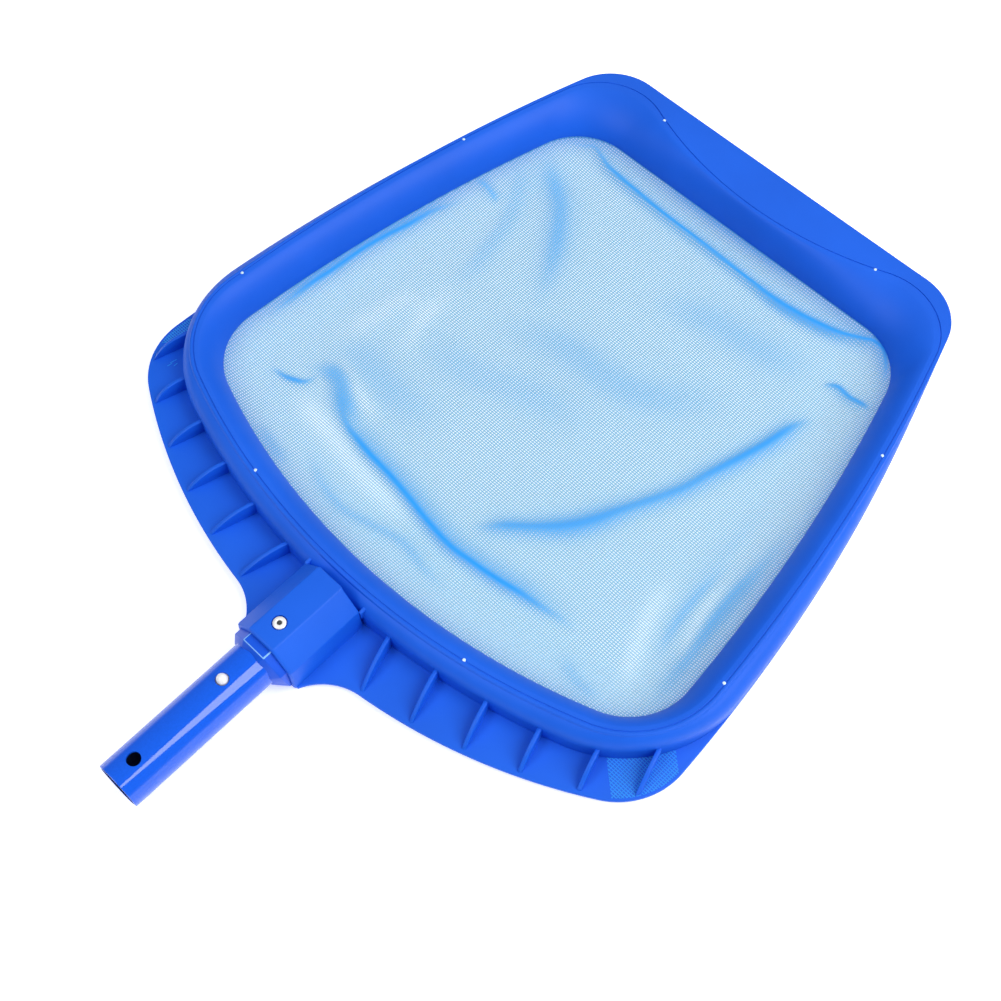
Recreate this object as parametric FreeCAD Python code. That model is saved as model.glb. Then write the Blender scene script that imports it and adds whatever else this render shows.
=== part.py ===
import FreeCAD, Part
import math
import os

# A flat leaf skimmer net for a pool pole, in millimetres. The origin is the centre of the lock
# hole on the axis of the handle tube, +Y runs along the tube towards the net and +Z is up.

# Handle tube: the spigot that slides into a 1 1/4 inch pool pole.
tube_diameter = 28.5
tube_wall = 1.5
tube_free_end = 14.4        # from the lock hole to the open end
tube_insertion = 38.0       # length inside the socket
lock_hole_diameter = 8.0
button_hole_diameter = 7.5
button_spacing = 60.0       # from the lock hole to the snap buttons

# Snap clip: a steel strip bent double inside the tube, with a button on each leg.
clip_arm = 46.0             # from the bend to the buttons
clip_width = 10.0
clip_thickness = 0.8
clip_bend_radius = 2.5
clip_flat = 14.0            # flat run in front of the button
clip_tail = 8.0             # flat run behind the button
clip_bore_clearance = 0.3
clip_bend_gap = 0.3
button_diameter = 6.35
button_proud = 3.3
button_stem_diameter = 4.0
button_stem_clearance = 0.05
button_peen = 0.6           # stem proud of the strip's inner side
button_nose = 3.0           # height of the tapered nose
button_flat = 1.6           # radius of the flat on the nose

# Socket: a faceted sleeve, symmetric about the tube axis, moulded with the flange.
socket_front = 87.5
socket_length = 50.6
socket_height = 38.8
socket_top_width = 18.4
socket_shoulder_width = 42.6
socket_shoulder_z = 6.3
socket_base_width = 45.0
socket_wall = 2.9
socket_end_wall = 2.4
socket_edge_radius = 1.5

# Adapter: the collar pressed into the socket, which carries the tube.
adapter_overhang = 8.1
adapter_clearance = 0.1
adapter_rim_radius = 14.9   # where the turned bevel starts
adapter_bevel_radius = 24.0 # where it has run out past the corners
adapter_bevel_depth = 8.6
tube_clearance = 0.05

# Blind rivet through the socket, the adapter and the top of the tube.
rivet_setback = 13.9        # from the front face of the socket
rivet_head_diameter = 7.6
rivet_head_height = 1.1
rivet_recess_depth = 0.6
rivet_recess_clearance = 0.5
rivet_shank_diameter = 4.8
rivet_tail_diameter = 6.4
rivet_tail_length = 4.0
rivet_clearance = 0.05
mandrel_diameter = 2.6
mandrel_head = 2.0
mandrel_sink = 0.4

# Flange and ring heights.
flange_drop = 10.6          # flange top below the tube axis
flange_thickness = 2.4
ring_height = 21.2          # from the flange top to the crest
straight_wall_height = 10.6
crest_edge = 1.0
ring_wall = 2.4

# Mouth: the inner edge where the net shows.
socket_to_wall = 0.7
rear_wall_width = 9.3       # from the wall's foot to the seam groove at the rear
rear_funnel_width = 15.6    # from the seam groove to the mouth at the rear
mouth_length = 323.4
mouth_half_width = 178.5
mouth_rear_radius = 433.5
mouth_side_radius = 1104.0
mouth_rear_corner = 42.5
mouth_front_corner = 40.0

# Seam groove between the two upper mouldings.
side_funnel_width = 15.4
front_funnel_width = 9.0
seam_rear_radius = 439.0
seam_side_radius = 1183.0
seam_wide_shift = -2.4
seam_rear_corner = 59.7
seam_front_corner = 42.3
seam_front_radius = 244.6   # bowed in towards the net
seam_width = 1.4
seam_depth = 2.0

# Outer wall, front lip and rear flange.
side_wall_width = 10.8
wall_rear_radius = 454.0
wall_side_radius = 1031.5
wall_wide_shift = -9.3
wall_rear_corner = 79.4
wall_front_corner = 40.0
shoulder_sweep = 65.0       # degrees that the rounded shoulder turns through
crest_width = 2.0           # flat outside the seam groove
lip_depth = 30.5            # from the seam groove to the straight front edge
lip_overhang = 8.0
lip_corner = 36.0
lip_thickness = 2.2
flange_depth = 33.6
flange_rear_radius = 352.3
flange_corner = 46.0
neck_radius = 34.6          # hollow curve that runs the flange into the socket
neck_margin = 0.6

# Ribs that prop the outer wall on the flange.
rib_thickness = 2.4
rib_tilt = 16.3             # degrees away from the tube's direction
rib_start = 39.7            # first rib, across the ribs from the middle of the wall's foot
rib_pitch = 32.0
rib_last_pitch = 28.4
ribs_per_side = 6
rib_setback = 2.0
rib_crown = 3.4             # how far the rib's top bulges above a straight line
rib_blank = 500.0           # length of the blade that each rib is cut from
fin_thickness = 2.0
fin_height = 6.5
fin_gap = 0.3

# Inner ring: the funnel between the seam and the mouth.
rim_flat = 0.08             # share of the funnel that is level
rim_shoulder = 0.20
rim_drop = 1.7
funnel_bow = 1.8            # above 1, the funnel's face is rounded towards the net
funnel_wall = 2.3
seat_thickness = 1.6
ledge_thickness = 2.0
ledge_width = 4.5
seat_gap = 0.3
foot_width = 6.0
foot_thickness = 1.6
hole_margin = 1.0

# Screws from below, whose tips show in the seam groove.
screw_diameter = 2.4
screw_tip_proud = 0.9       # above the floor of the groove
screw_head_width = 5.0      # across the flats
screw_head_height = 1.6
screw_clearance = 0.05
screw_hole_width = screw_diameter + 2 * screw_clearance
boss_width = 6.4
rear_screw_x = 82.7
front_screw_x = 84.8
side_screw_shares = (0.243, 0.761)    # of the mouth's length, from its rear

# Net: one sheet of mesh cloth, clamped by its hem and slack inside the mouth.
cloth_thickness = 0.5
hem_share = 0.6             # of the way from the mouth to the seam
hem_clearance = 0.3
sag_depth = 8.8             # from the flange top to the lowest cloth
sag_upper_run = 12.0
sag_upper_share = 0.55
sag_lower_run = 32.0
corner_tab_width = 34.0
corner_tab_angle = 41.5
corner_tab_inset = 1.5
corner_tab_root = 20.0      # lap of the tab on the sheet
corner_tab_reach = 90.0
fold_width = 14.0
fold_crest = 4.0            # width of the fold's rounded top
fold_height = 2.2
fold_end_height = 0.3
hem_margin = 0.6            # from the mouth's edge to where the cloth turns down

# The cloth's main folds, as the points that they run through.
fold_routes = (((-120, 265), (-75, 262), (-20, 266), (50, 292)),
               ((60, 230), (84, 262), (116, 330)),
               ((-128, 400), (-60, 432), (20, 440), (90, 430)))

V = FreeCAD.Vector
up = V(0, 0, 1)

flange_top = -flange_drop
flange_bottom = flange_top - flange_thickness
crest_z = flange_top + ring_height
seam_floor = crest_z - seam_depth
seat_bottom = seam_floor - seat_thickness
ledge_bottom = seat_bottom - ledge_thickness
tube_radius = tube_diameter / 2
bore_radius = tube_radius - tube_wall
socket_end = socket_front + socket_length
wall_rear = socket_end + socket_to_wall
seam_rear = wall_rear + rear_wall_width
mouth_rear = seam_rear + rear_funnel_width
mouth_front = mouth_rear + mouth_length
seam_front = mouth_front + front_funnel_width
lip_front = seam_front + lip_depth

# An outline is five arcs a side: rear, rear corner, side, front corner and front. The front is
# straight where its bow, the curvature towards the net, is zero.
mouth = dict(rear=mouth_rear, rear_r=mouth_rear_radius, half=mouth_half_width,
             wide=mouth_rear, side_r=mouth_side_radius, corner_r=mouth_rear_corner,
             tip_r=mouth_front_corner, front=mouth_front, bow=0.0)
seam = dict(rear=seam_rear, rear_r=seam_rear_radius, half=mouth_half_width + side_funnel_width,
            wide=mouth_rear + seam_wide_shift, side_r=seam_side_radius,
            corner_r=seam_rear_corner, tip_r=seam_front_corner, front=seam_front,
            bow=1 / seam_front_radius)
foot = dict(rear=wall_rear, rear_r=wall_rear_radius, half=seam["half"] + side_wall_width,
            wide=mouth_rear + wall_wide_shift, side_r=wall_side_radius,
            corner_r=wall_rear_corner, tip_r=wall_front_corner, front=lip_front - lip_overhang,
            bow=0.0)
flange = dict(foot, rear=wall_rear - flange_depth, rear_r=flange_rear_radius,
              corner_r=flange_corner)


def inset(shape, distance):
    # The same outline moved inwards all round.
    moved = dict(shape)
    moved["rear"] += distance
    moved["front"] -= distance
    moved["bow"] = shape["bow"] / (1 + shape["bow"] * distance)
    for radius in ("rear_r", "half", "side_r", "corner_r", "tip_r"):
        moved[radius] -= distance
    return moved


crest = dict(inset(seam, -crest_width), front=lip_front, tip_r=lip_corner, bow=0.0)
seam_inner = inset(seam, seam_width)


def mix(first, second, share):
    return {key: first[key] + (second[key] - first[key]) * share for key in first}


def crossing(centre_a, radius_a, centre_b, radius_b, side):
    # Where two circles cross, on the left (1) or the right (-1) of the line from a to b.
    dx = centre_b[0] - centre_a[0]
    dy = centre_b[1] - centre_a[1]
    span = math.hypot(dx, dy)
    along = (radius_a ** 2 - radius_b ** 2 + span ** 2) / (2 * span)
    across = side * math.sqrt(radius_a ** 2 - along ** 2)
    return (centre_a[0] + (dx * along - dy * across) / span,
            centre_a[1] + (dy * along + dx * across) / span)


def reach(centre, through, radius):
    # The point at a radius from a centre, on the line through another point.
    dx = through[0] - centre[0]
    dy = through[1] - centre[1]
    scale = radius / math.hypot(dx, dy)
    return (centre[0] + dx * scale, centre[1] + dy * scale)


def corner_points(shape):
    # The right half's tangent points and the middle of each arc between them.
    rear_c = (0, shape["rear"] + shape["rear_r"])
    side_c = (shape["half"] - shape["side_r"], shape["wide"])
    corner = crossing(rear_c, shape["rear_r"] - shape["corner_r"],
                      side_c, shape["side_r"] - shape["corner_r"], 1)
    tip_r = shape["tip_r"]
    if shape["bow"]:
        front_r = 1 / shape["bow"]
        front_c = (0, shape["front"] + front_r)
        tip = crossing(side_c, shape["side_r"] - tip_r, front_c, front_r + tip_r, -1)
        tip_end = reach(tip, front_c, tip_r)
    else:
        tip_y = shape["front"] - tip_r
        reach_x = math.sqrt((shape["side_r"] - tip_r) ** 2 - (tip_y - side_c[1]) ** 2)
        tip = (side_c[0] + reach_x, tip_y)
        tip_end = (tip[0], shape["front"])
    p1 = reach(rear_c, corner, shape["rear_r"])
    p2 = reach(side_c, corner, shape["side_r"])
    p3 = reach(side_c, tip, shape["side_r"])
    bend = reach(corner, ((p1[0] + p2[0]) / 2, (p1[1] + p2[1]) / 2), shape["corner_r"])
    side = reach(side_c, ((p2[0] + p3[0]) / 2, (p2[1] + p3[1]) / 2), shape["side_r"])
    turn = reach(tip, ((p3[0] + tip_end[0]) / 2, (p3[1] + tip_end[1]) / 2), tip_r)
    return p1, bend, p2, side, p3, turn, tip_end


def outline(shape, z):
    p1, bend, p2, side, p3, turn, p4 = [V(x, y, z) for x, y in corner_points(shape)]
    m1, mbend, m2, mside, m3, mturn, m4 = [V(-v.x, v.y, z) for v in
                                           (p1, bend, p2, side, p3, turn, p4)]
    rear = Part.Arc(m1, V(0, shape["rear"], z), p1).toShape()
    front = Part.makeLine(p4, m4)
    if shape["bow"]:
        front = Part.Arc(p4, V(0, shape["front"], z), m4).toShape()
    right = [Part.Arc(p1, bend, p2).toShape(), Part.Arc(p2, side, p3).toShape(),
             Part.Arc(p3, turn, p4).toShape()]
    left = [Part.Arc(m4, mturn, m3).toShape(), Part.Arc(m3, mside, m2).toShape(),
            Part.Arc(m2, mbend, m1).toShape()]
    return Part.Wire([rear] + right + [front] + left)


def slab(shape, low, high):
    return Part.Face(outline(shape, low)).extrude(up * (high - low))


def stack(levels):
    # A solid through outlines given as (outline, height), from the lowest to the highest.
    return Part.makeLoft([outline(shape, z) for shape, z in levels], True, True)


def both_sides(solid):
    return [solid, solid.mirror(V(0, 0, 0), V(1, 0, 0))]


def cylinder(radius, base, top, x=0.0, y=0.0):
    return Part.makeCylinder(radius, top - base, V(x, y, base))


def hexagon(width, base, top, x, y):
    # An upright hexagonal bar, given its width across the flats.
    radius = width / math.sqrt(3)
    corners = [V(x + radius * math.cos(math.radians(angle)),
                 y + radius * math.sin(math.radians(angle)), base)
               for angle in range(0, 361, 60)]
    return Part.Face(Part.makePolygon(corners)).extrude(up * (top - base))


def wall_levels():
    # The outer wall's outlines: straight, then a rounded shoulder.
    levels = [(foot, flange_top)]
    start = flange_top + straight_wall_height
    rise = ring_height - straight_wall_height - crest_edge
    last = math.radians(shoulder_sweep)
    for step in range(4):
        angle = last * step / 3
        share = (1 - math.cos(angle)) / (1 - math.cos(last))
        height = start + rise * math.sin(angle) / math.sin(last)
        levels.append((mix(foot, crest, share), height))
    levels.append((crest, crest_z))
    return levels


def shoulder_at(z):
    # The wall's outline at a height on the shoulder.
    levels = wall_levels()
    for (low, z_low), (high, z_high) in zip(levels, levels[1:]):
        if z_low <= z <= z_high:
            return mix(low, high, (z - z_low) / (z_high - z_low))
    return crest


def funnel_at(z):
    # The funnel's face below the rounded rim, bowed towards the net.
    left = (z - flange_top) / (ring_height - rim_drop)
    return mix(seam_inner, mouth, 1 - (1 - rim_shoulder) * left ** funnel_bow)


def funnel_levels(distance, top):
    # The face, moved outwards by a distance, in straight steps from the mouth to a top height.
    heights = [flange_top + (ring_height - rim_drop) * step / 3 for step in range(3)] + [top]
    return [(inset(funnel_at(z), -distance), z) for z in heights]


def funnel_back(gap):
    # The hidden face of the funnel, moved out by a gap, with the foot below it.
    foot_part = slab(inset(mouth, -foot_width - gap), flange_top, flange_top + foot_thickness + gap)
    return stack(funnel_levels(funnel_wall + gap, seat_bottom)).fuse(foot_part)


def funnel_void():
    # The funnel's open middle: the bowed face, the sloped edge of the rim and its top.
    rim = mix(seam_inner, mouth, rim_flat)
    levels = [(mouth, flange_top - 1)] + funnel_levels(0, crest_z - rim_drop)
    return stack(levels + [(rim, crest_z), (rim, crest_z + 1)])


def arc_y(rear, radius, x):
    # Where an arc that starts at a rear point on the centre line passes x.
    return rear + radius - math.sqrt(radius ** 2 - x ** 2)


def groove_places():
    # The screws stand in the middle of the groove.
    line = inset(seam, seam_width / 2)
    right = [(rear_screw_x, arc_y(line["rear"], line["rear_r"], rear_screw_x)),
             (front_screw_x, arc_y(line["front"], 1 / line["bow"], front_screw_x))]
    for share in side_screw_shares:
        y = mouth_rear + mouth_length * share
        reach_x = math.sqrt(line["side_r"] ** 2 - (y - line["wide"]) ** 2)
        right.append((line["half"] - line["side_r"] + reach_x, y))
    return right + [(-x, y) for x, y in right]


screw_places = groove_places()


def core_holes():
    # Six-sided core holes, which self-tapping screws cut into, up through the boss and the groove.
    return Part.makeCompound([hexagon(screw_hole_width, flange_top - 1, crest_z + 1, x, y)
                              for x, y in screw_places])


def socket_face(gap, y):
    # The faceted section, symmetric about the tube axis, moved in by a gap.
    high = socket_height / 2
    top = socket_top_width / 2
    shoulder = socket_shoulder_width / 2
    base = socket_base_width / 2
    right = [(top, high), (shoulder, socket_shoulder_z), (base, flange_top),
             (base, flange_bottom), (top, -high)]
    points = [V(x, y, z) for x, z in right] + [V(-x, y, z) for x, z in reversed(right)]
    wire = Part.makePolygon(points + points[:1])
    if gap:
        wire = wire.makeOffset2D(-gap, 2)
    return Part.Face(wire)


def socket_block(gap, start, end):
    return socket_face(gap, start).extrude(V(0, end - start, 0))


def soften_end(solid, y, radius):
    edges = [edge for edge in solid.Edges
             if all(abs(vertex.Point.y - y) < 0.01 for vertex in edge.Vertexes)]
    return solid.makeFillet(radius, edges)


def neck():
    # The flange runs into the socket with a hollow curve on each side.
    start = (socket_base_width / 2 + neck_margin, socket_front + 1)
    rear_c = (0, flange["rear"] + flange["rear_r"])
    centre = crossing(rear_c, flange["rear_r"] + neck_radius, start, neck_radius, 1)
    end = reach(centre, rear_c, neck_radius)
    middle = reach(centre, ((start[0] + end[0]) / 2, (start[1] + end[1]) / 2), neck_radius)
    a, b, c = [V(x, y, flange_bottom) for x, y in (start, middle, end)]
    inner = V(end[0], wall_rear - 2, flange_bottom)
    left_a, left_b, left_c, left_inner = [V(-v.x, v.y, v.z) for v in (a, b, c, inner)]
    edges = [Part.Arc(a, b, c).toShape(), Part.makeLine(c, inner),
             Part.makeLine(inner, left_inner), Part.makeLine(left_inner, left_c),
             Part.Arc(left_c, left_b, left_a).toShape(), Part.makeLine(left_a, a)]
    return Part.Face(Part.Wire(edges)).extrude(up * flange_thickness)


def corner_tab(grow):
    # A tongue of cloth that runs out under the wall to the flange's edge.
    angle = math.radians(corner_tab_angle)
    along = (math.cos(angle), -math.sin(angle))
    across = (math.sin(angle), math.cos(angle))
    rear_corner = corner_points(mouth)[1]
    half = corner_tab_width / 2 + grow
    corners = []
    for far, wide in ((-corner_tab_root, -half), (corner_tab_reach, -half),
                      (corner_tab_reach, half), (-corner_tab_root, half)):
        corners.append(V(rear_corner[0] + along[0] * far + across[0] * wide,
                         rear_corner[1] + along[1] * far + across[1] * wide,
                         flange_top - cloth_thickness))
    tongue = Part.Face(Part.makePolygon(corners + corners[:1])).extrude(up * cloth_thickness)
    edge = slab(inset(flange, corner_tab_inset - grow), flange_top - cloth_thickness, flange_top)
    return tongue.common(edge)


def hem(grow):
    sheet = slab(inset(mix(mouth, seam, hem_share), -grow), flange_top - cloth_thickness,
                 flange_top)
    for tab in both_sides(corner_tab(grow)):
        sheet = sheet.fuse(tab)
    return sheet


def make_base_frame():
    plate = slab(flange, flange_bottom, flange_top).fuse(neck())
    plate = plate.cut(slab(inset(mouth, -hole_margin), flange_bottom - 1, flange_top + 1))
    plate = plate.cut(hem(hem_clearance))
    sleeve = socket_block(0, socket_front, socket_end)
    sleeve = soften_end(sleeve, socket_front, socket_edge_radius)
    body = plate.fuse(sleeve)
    body = body.cut(socket_block(socket_wall, socket_front - 1, socket_end - socket_end_wall))
    top = socket_height / 2
    y = socket_front + rivet_setback
    recess = rivet_head_diameter / 2 + rivet_recess_clearance
    body = body.cut(cylinder(recess, top - rivet_recess_depth, top + 1, 0, y))
    body = body.cut(cylinder(rivet_shank_diameter / 2 + rivet_clearance, 0, top, 0, y))
    for x, y in screw_places:
        body = body.cut(hexagon(screw_hole_width, flange_bottom - 1, flange_top, x, y))
    return body


def rib_props():
    # Each rib is a slice of one sloping apron between the flange's edge and the wall.
    low = inset(flange, rib_setback)
    levels = []
    for share in (0, 0.25, 0.5, 1):
        height = straight_wall_height * share + 4 * rib_crown * share * (1 - share)
        levels.append((mix(low, foot, share), flange_top + height))
    apron = stack(levels)
    tilt = math.radians(rib_tilt)
    ribs = []
    for number in range(ribs_per_side):
        offset = rib_start + rib_pitch * number
        if number == ribs_per_side - 1:
            offset += rib_last_pitch - rib_pitch
        blade = Part.makeBox(rib_thickness, rib_blank, ring_height,
                             V(-rib_thickness / 2, -rib_blank / 2, flange_top))
        blade.rotate(V(0, 0, 0), up, rib_tilt)
        blade.translate(V(offset * math.cos(tilt), wall_rear + offset * math.sin(tilt), 0))
        ribs += both_sides(blade.common(apron))
    return ribs


def socket_fins():
    # Two short fins between the socket's end and the ring's shoulder.
    low = flange_top + straight_wall_height
    start = socket_end + fin_gap
    x = socket_base_width / 2 - fin_thickness
    fin = Part.makeBox(fin_thickness, seam_rear - start, fin_height, V(x, start, low))
    return both_sides(fin)


def make_top_frame():
    void = stack([(inset(foot, ring_wall), flange_top),
                  (inset(foot, ring_wall), flange_top + straight_wall_height),
                  (inset(shoulder_at(ledge_bottom), ring_wall), ledge_bottom)])
    void = void.fuse(slab(inset(foot, ring_wall), flange_top - 1, flange_top))
    body = stack(wall_levels())
    for rib in rib_props():
        body = body.fuse(rib)
    for fin in socket_fins():
        body = body.fuse(fin)
    body = body.cut(void)
    pocket = slab(inset(crest, ring_wall + 1), ledge_bottom - 1, crest_z - lip_thickness)
    pocket = pocket.cut(slab(inset(seam, -ring_wall), ledge_bottom - 1, crest_z))
    body = body.cut(pocket)
    for x, y in screw_places:
        body = body.fuse(hexagon(boss_width, flange_top, seat_bottom, x, y))
    body = body.cut(slab(seam, seat_bottom, crest_z + 1))
    body = body.cut(slab(inset(seam, ledge_width), ledge_bottom - 1, crest_z))
    body = body.cut(funnel_back(seat_gap))
    return body.cut(core_holes())


def make_inner_ring():
    body = funnel_back(0)
    body = body.fuse(slab(inset(seam, seat_gap), seat_bottom, seam_floor))
    body = body.fuse(slab(seam_inner, seat_bottom, crest_z))
    return body.cut(funnel_void()).cut(core_holes())


def fold(route, low):
    # A crease in the cloth: a low ridge with a flat crest, square to the chord of its route.
    (x0, y0), (x1, y1) = route[0], route[-1]
    length = math.hypot(x1 - x0, y1 - y0)
    nx = (y0 - y1) / length
    ny = (x1 - x0) / length
    sections = []
    for index, (x, y) in enumerate(route):
        height = fold_end_height if index in (0, len(route) - 1) else fold_height
        corners = [V(x + nx * across, y + ny * across, low + rise)
                   for across, rise in ((-fold_width / 2, 0), (-fold_crest / 2, height),
                                        (fold_crest / 2, height), (fold_width / 2, 0))]
        sections.append(Part.makePolygon(corners + corners[:1]))
    return Part.makeLoft(sections, True, True)


def make_net_bag():
    low = flange_top - sag_depth
    middle = flange_top - sag_depth * sag_upper_share
    edge = inset(mouth, hem_margin)
    upper = inset(mouth, sag_upper_run)
    floor = inset(mouth, sag_lower_run)
    t = cloth_thickness
    under = stack([(floor, low), (upper, middle), (edge, flange_top - t)])
    under = under.fuse(slab(edge, flange_top - t, flange_top))
    over = stack([(inset(floor, t), low + t), (inset(upper, t), middle + t / 2),
                  (inset(edge, 2 * t), flange_top)])
    over = over.fuse(slab(inset(edge, 2 * t), flange_top, flange_top + 1))
    sheet = hem(0).fuse(under).cut(over)
    for route in fold_routes:
        sheet = sheet.fuse(fold(route, low + t))
    for route in fold_routes:
        sheet = sheet.cut(fold(route, low))
    return sheet


def make_screws():
    screws = []
    for x, y in screw_places:
        head = hexagon(screw_head_width, flange_bottom - screw_head_height, flange_bottom, x, y)
        shank = hexagon(screw_diameter, flange_bottom, seam_floor + screw_tip_proud, x, y)
        screws.append(head.fuse(shank))
    return Part.makeCompound(screws)


def make_adapter():
    start = socket_front - adapter_overhang
    end = socket_end - socket_end_wall - adapter_clearance
    gap = socket_wall + adapter_clearance
    bevel_end = start + adapter_bevel_depth
    along = V(0, 1, 0)
    bevel = Part.makeCone(adapter_rim_radius, adapter_bevel_radius, adapter_bevel_depth,
                          V(0, start, 0), along)
    turned = bevel.fuse(Part.makeCylinder(adapter_bevel_radius, end - bevel_end + 1,
                                          V(0, bevel_end, 0), along))
    block = socket_block(gap, start, end).common(turned)
    bore_end = socket_front + tube_insertion + adapter_clearance
    block = block.cut(Part.makeCylinder(tube_radius + tube_clearance, bore_end - start + 1,
                                        V(0, start - 1, 0), along))
    y = socket_front + rivet_setback
    return block.cut(cylinder(rivet_shank_diameter / 2 + rivet_clearance, 0, socket_height, 0, y))


def make_tube():
    length = tube_free_end + socket_front + tube_insertion
    start = V(0, -tube_free_end, 0)
    tube = Part.makeCylinder(tube_radius, length, start, V(0, 1, 0))
    tube = tube.cut(Part.makeCylinder(bore_radius, length, start, V(0, 1, 0)))
    for diameter, y in ((lock_hole_diameter, 0), (button_hole_diameter, button_spacing)):
        tube = tube.cut(cylinder(diameter / 2, -tube_diameter, tube_diameter, 0, y))
    y = socket_front + rivet_setback
    return tube.cut(cylinder(rivet_shank_diameter / 2 + rivet_clearance, 0, tube_diameter, 0, y))


def make_rivet():
    y = socket_front + rivet_setback
    seat = socket_height / 2 - rivet_recess_depth
    inner_wall = math.sqrt(bore_radius ** 2 - (rivet_tail_diameter / 2) ** 2)
    head = Part.makeCone(rivet_head_diameter / 2, rivet_head_diameter / 2 - rivet_head_height,
                         rivet_head_height, V(0, y, seat))
    tail_top = inner_wall - rivet_clearance
    shank = cylinder(rivet_shank_diameter / 2, tail_top - 0.5, seat, 0, y)
    tail = cylinder(rivet_tail_diameter / 2, tail_top - rivet_tail_length, tail_top, 0, y)
    rivet = head.fuse(shank).fuse(tail)
    bore = mandrel_diameter / 2 + rivet_clearance
    return rivet.cut(cylinder(bore, tail_top - rivet_tail_length - 1, socket_height, 0, y))


def make_mandrel():
    y = socket_front + rivet_setback
    top = socket_height / 2 - rivet_recess_depth + rivet_head_height - mandrel_sink
    inner_wall = math.sqrt(bore_radius ** 2 - (rivet_tail_diameter / 2) ** 2)
    tail_end = inner_wall - rivet_clearance - rivet_tail_length
    stem = cylinder(mandrel_diameter / 2, tail_end - 0.1, top, 0, y)
    bulb = cylinder(rivet_shank_diameter / 2, tail_end - mandrel_head, tail_end, 0, y)
    return stem.fuse(bulb)


def unit(start, end):
    length = math.hypot(end[0] - start[0], end[1] - start[1])
    return ((end[0] - start[0]) / length, (end[1] - start[1]) / length)


def strip(points):
    # A flat strip through points (y, z), its bends mitred.
    runs = [unit(a, b) for a, b in zip(points, points[1:])]
    upper = []
    lower = []
    for (y, z), before, after in zip(points, runs[:1] + runs, runs + runs[-1:]):
        ny = -(before[1] + after[1])
        nz = before[0] + after[0]
        offset = clip_thickness / (ny * ny + nz * nz)
        upper.append(V(-clip_width / 2, y + ny * offset, z + nz * offset))
        lower.append(V(-clip_width / 2, y - ny * offset, z - nz * offset))
    loop = upper + lower[::-1]
    return Part.Face(Part.makePolygon(loop + loop[:1])).extrude(V(clip_width, 0, 0))


def clip_plane():
    # Height of the middle of the strip where it lies along the tube's bore.
    bore_height = math.sqrt(bore_radius ** 2 - (clip_width / 2) ** 2)
    return bore_height - clip_bore_clearance - clip_thickness / 2


def make_clip_leg():
    bend_y = button_spacing - clip_arm
    height = clip_plane()
    route = [(bend_y + clip_bend_gap, clip_bend_radius),
             (button_spacing - clip_flat, height), (button_spacing + clip_tail, height)]
    leg = strip(route)
    stem = button_stem_diameter / 2 + button_stem_clearance
    return leg.cut(cylinder(stem, 0, tube_radius, 0, button_spacing))


def make_clip_bend():
    bend_y = button_spacing - clip_arm
    end = V(-clip_width / 2, bend_y, 0)
    outer, inner = [Part.makeCylinder(clip_bend_radius + side * clip_thickness / 2, clip_width,
                                      end, V(1, 0, 0)) for side in (1, -1)]
    half = Part.makeBox(clip_width, 2 * clip_bend_radius, 4 * clip_bend_radius,
                        V(-clip_width / 2, bend_y - 2 * clip_bend_radius, -2 * clip_bend_radius))
    return outer.cut(inner).common(half)


def make_button():
    radius = button_diameter / 2
    seat = clip_plane() + clip_thickness / 2
    top = tube_radius + button_proud
    body = cylinder(radius, seat, top - button_nose, 0, button_spacing)
    nose = Part.makeCone(radius, button_flat, button_nose, V(0, button_spacing, top - button_nose))
    under = seat - clip_thickness
    stem = cylinder(button_stem_diameter / 2, under - button_peen, seat, 0, button_spacing)
    return body.fuse(nose).fuse(stem)


def lower_twin(solid):
    return solid.mirror(V(0, 0, 0), V(0, 0, 1))


def save(name, solid):
    if solid.ShapeType == "Compound" and len(solid.Solids) == 1:
        solid = solid.Solids[0]
    solid.exportStep("parts/" + name + ".step")
    print(name, len(solid.Solids), round(solid.Volume), solid.isValid())


os.makedirs("parts", exist_ok=True)
save("base_frame", make_base_frame())
save("top_frame", make_top_frame())
save("inner_ring", make_inner_ring())
save("net_bag", make_net_bag())
save("frame_screws", make_screws())
save("socket_adapter", make_adapter())
save("handle_tube", make_tube())
save("handle_rivet", make_rivet())
save("rivet_mandrel", make_mandrel())
save("clip_bend", make_clip_bend())
save("clip_leg_upper", make_clip_leg())
save("clip_leg_lower", lower_twin(make_clip_leg()))
save("clip_button_upper", make_button())
save("clip_button_lower", lower_twin(make_button()))
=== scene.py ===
import math
import bmesh
import bpy
import numpy as np
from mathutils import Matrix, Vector


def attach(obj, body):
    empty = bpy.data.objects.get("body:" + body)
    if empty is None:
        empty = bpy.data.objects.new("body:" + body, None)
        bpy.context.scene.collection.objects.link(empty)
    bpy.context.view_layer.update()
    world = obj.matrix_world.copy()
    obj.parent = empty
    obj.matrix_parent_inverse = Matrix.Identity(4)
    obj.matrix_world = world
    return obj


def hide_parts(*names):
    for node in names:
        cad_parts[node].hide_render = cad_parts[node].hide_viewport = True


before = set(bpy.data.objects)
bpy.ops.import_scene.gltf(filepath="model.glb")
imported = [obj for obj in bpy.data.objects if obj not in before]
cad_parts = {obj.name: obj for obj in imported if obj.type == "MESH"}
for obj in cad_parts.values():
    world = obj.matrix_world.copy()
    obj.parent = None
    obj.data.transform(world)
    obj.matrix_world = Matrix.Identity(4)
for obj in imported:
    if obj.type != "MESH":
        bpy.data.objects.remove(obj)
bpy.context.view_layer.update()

scene = bpy.context.scene
scene.view_settings.view_transform = "Standard"
scene.cycles.denoising_prefilter = "NONE"  # keeps the fine weave of the net
print("frame loaded")

# the photographed view, in metres
photoView = {"lens": 54.615, "sensor": 36.0, "place": (0.3031, -0.0444, 0.7629),
             "aim": (0.0229, 0.2466, -0.0106)}

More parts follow.
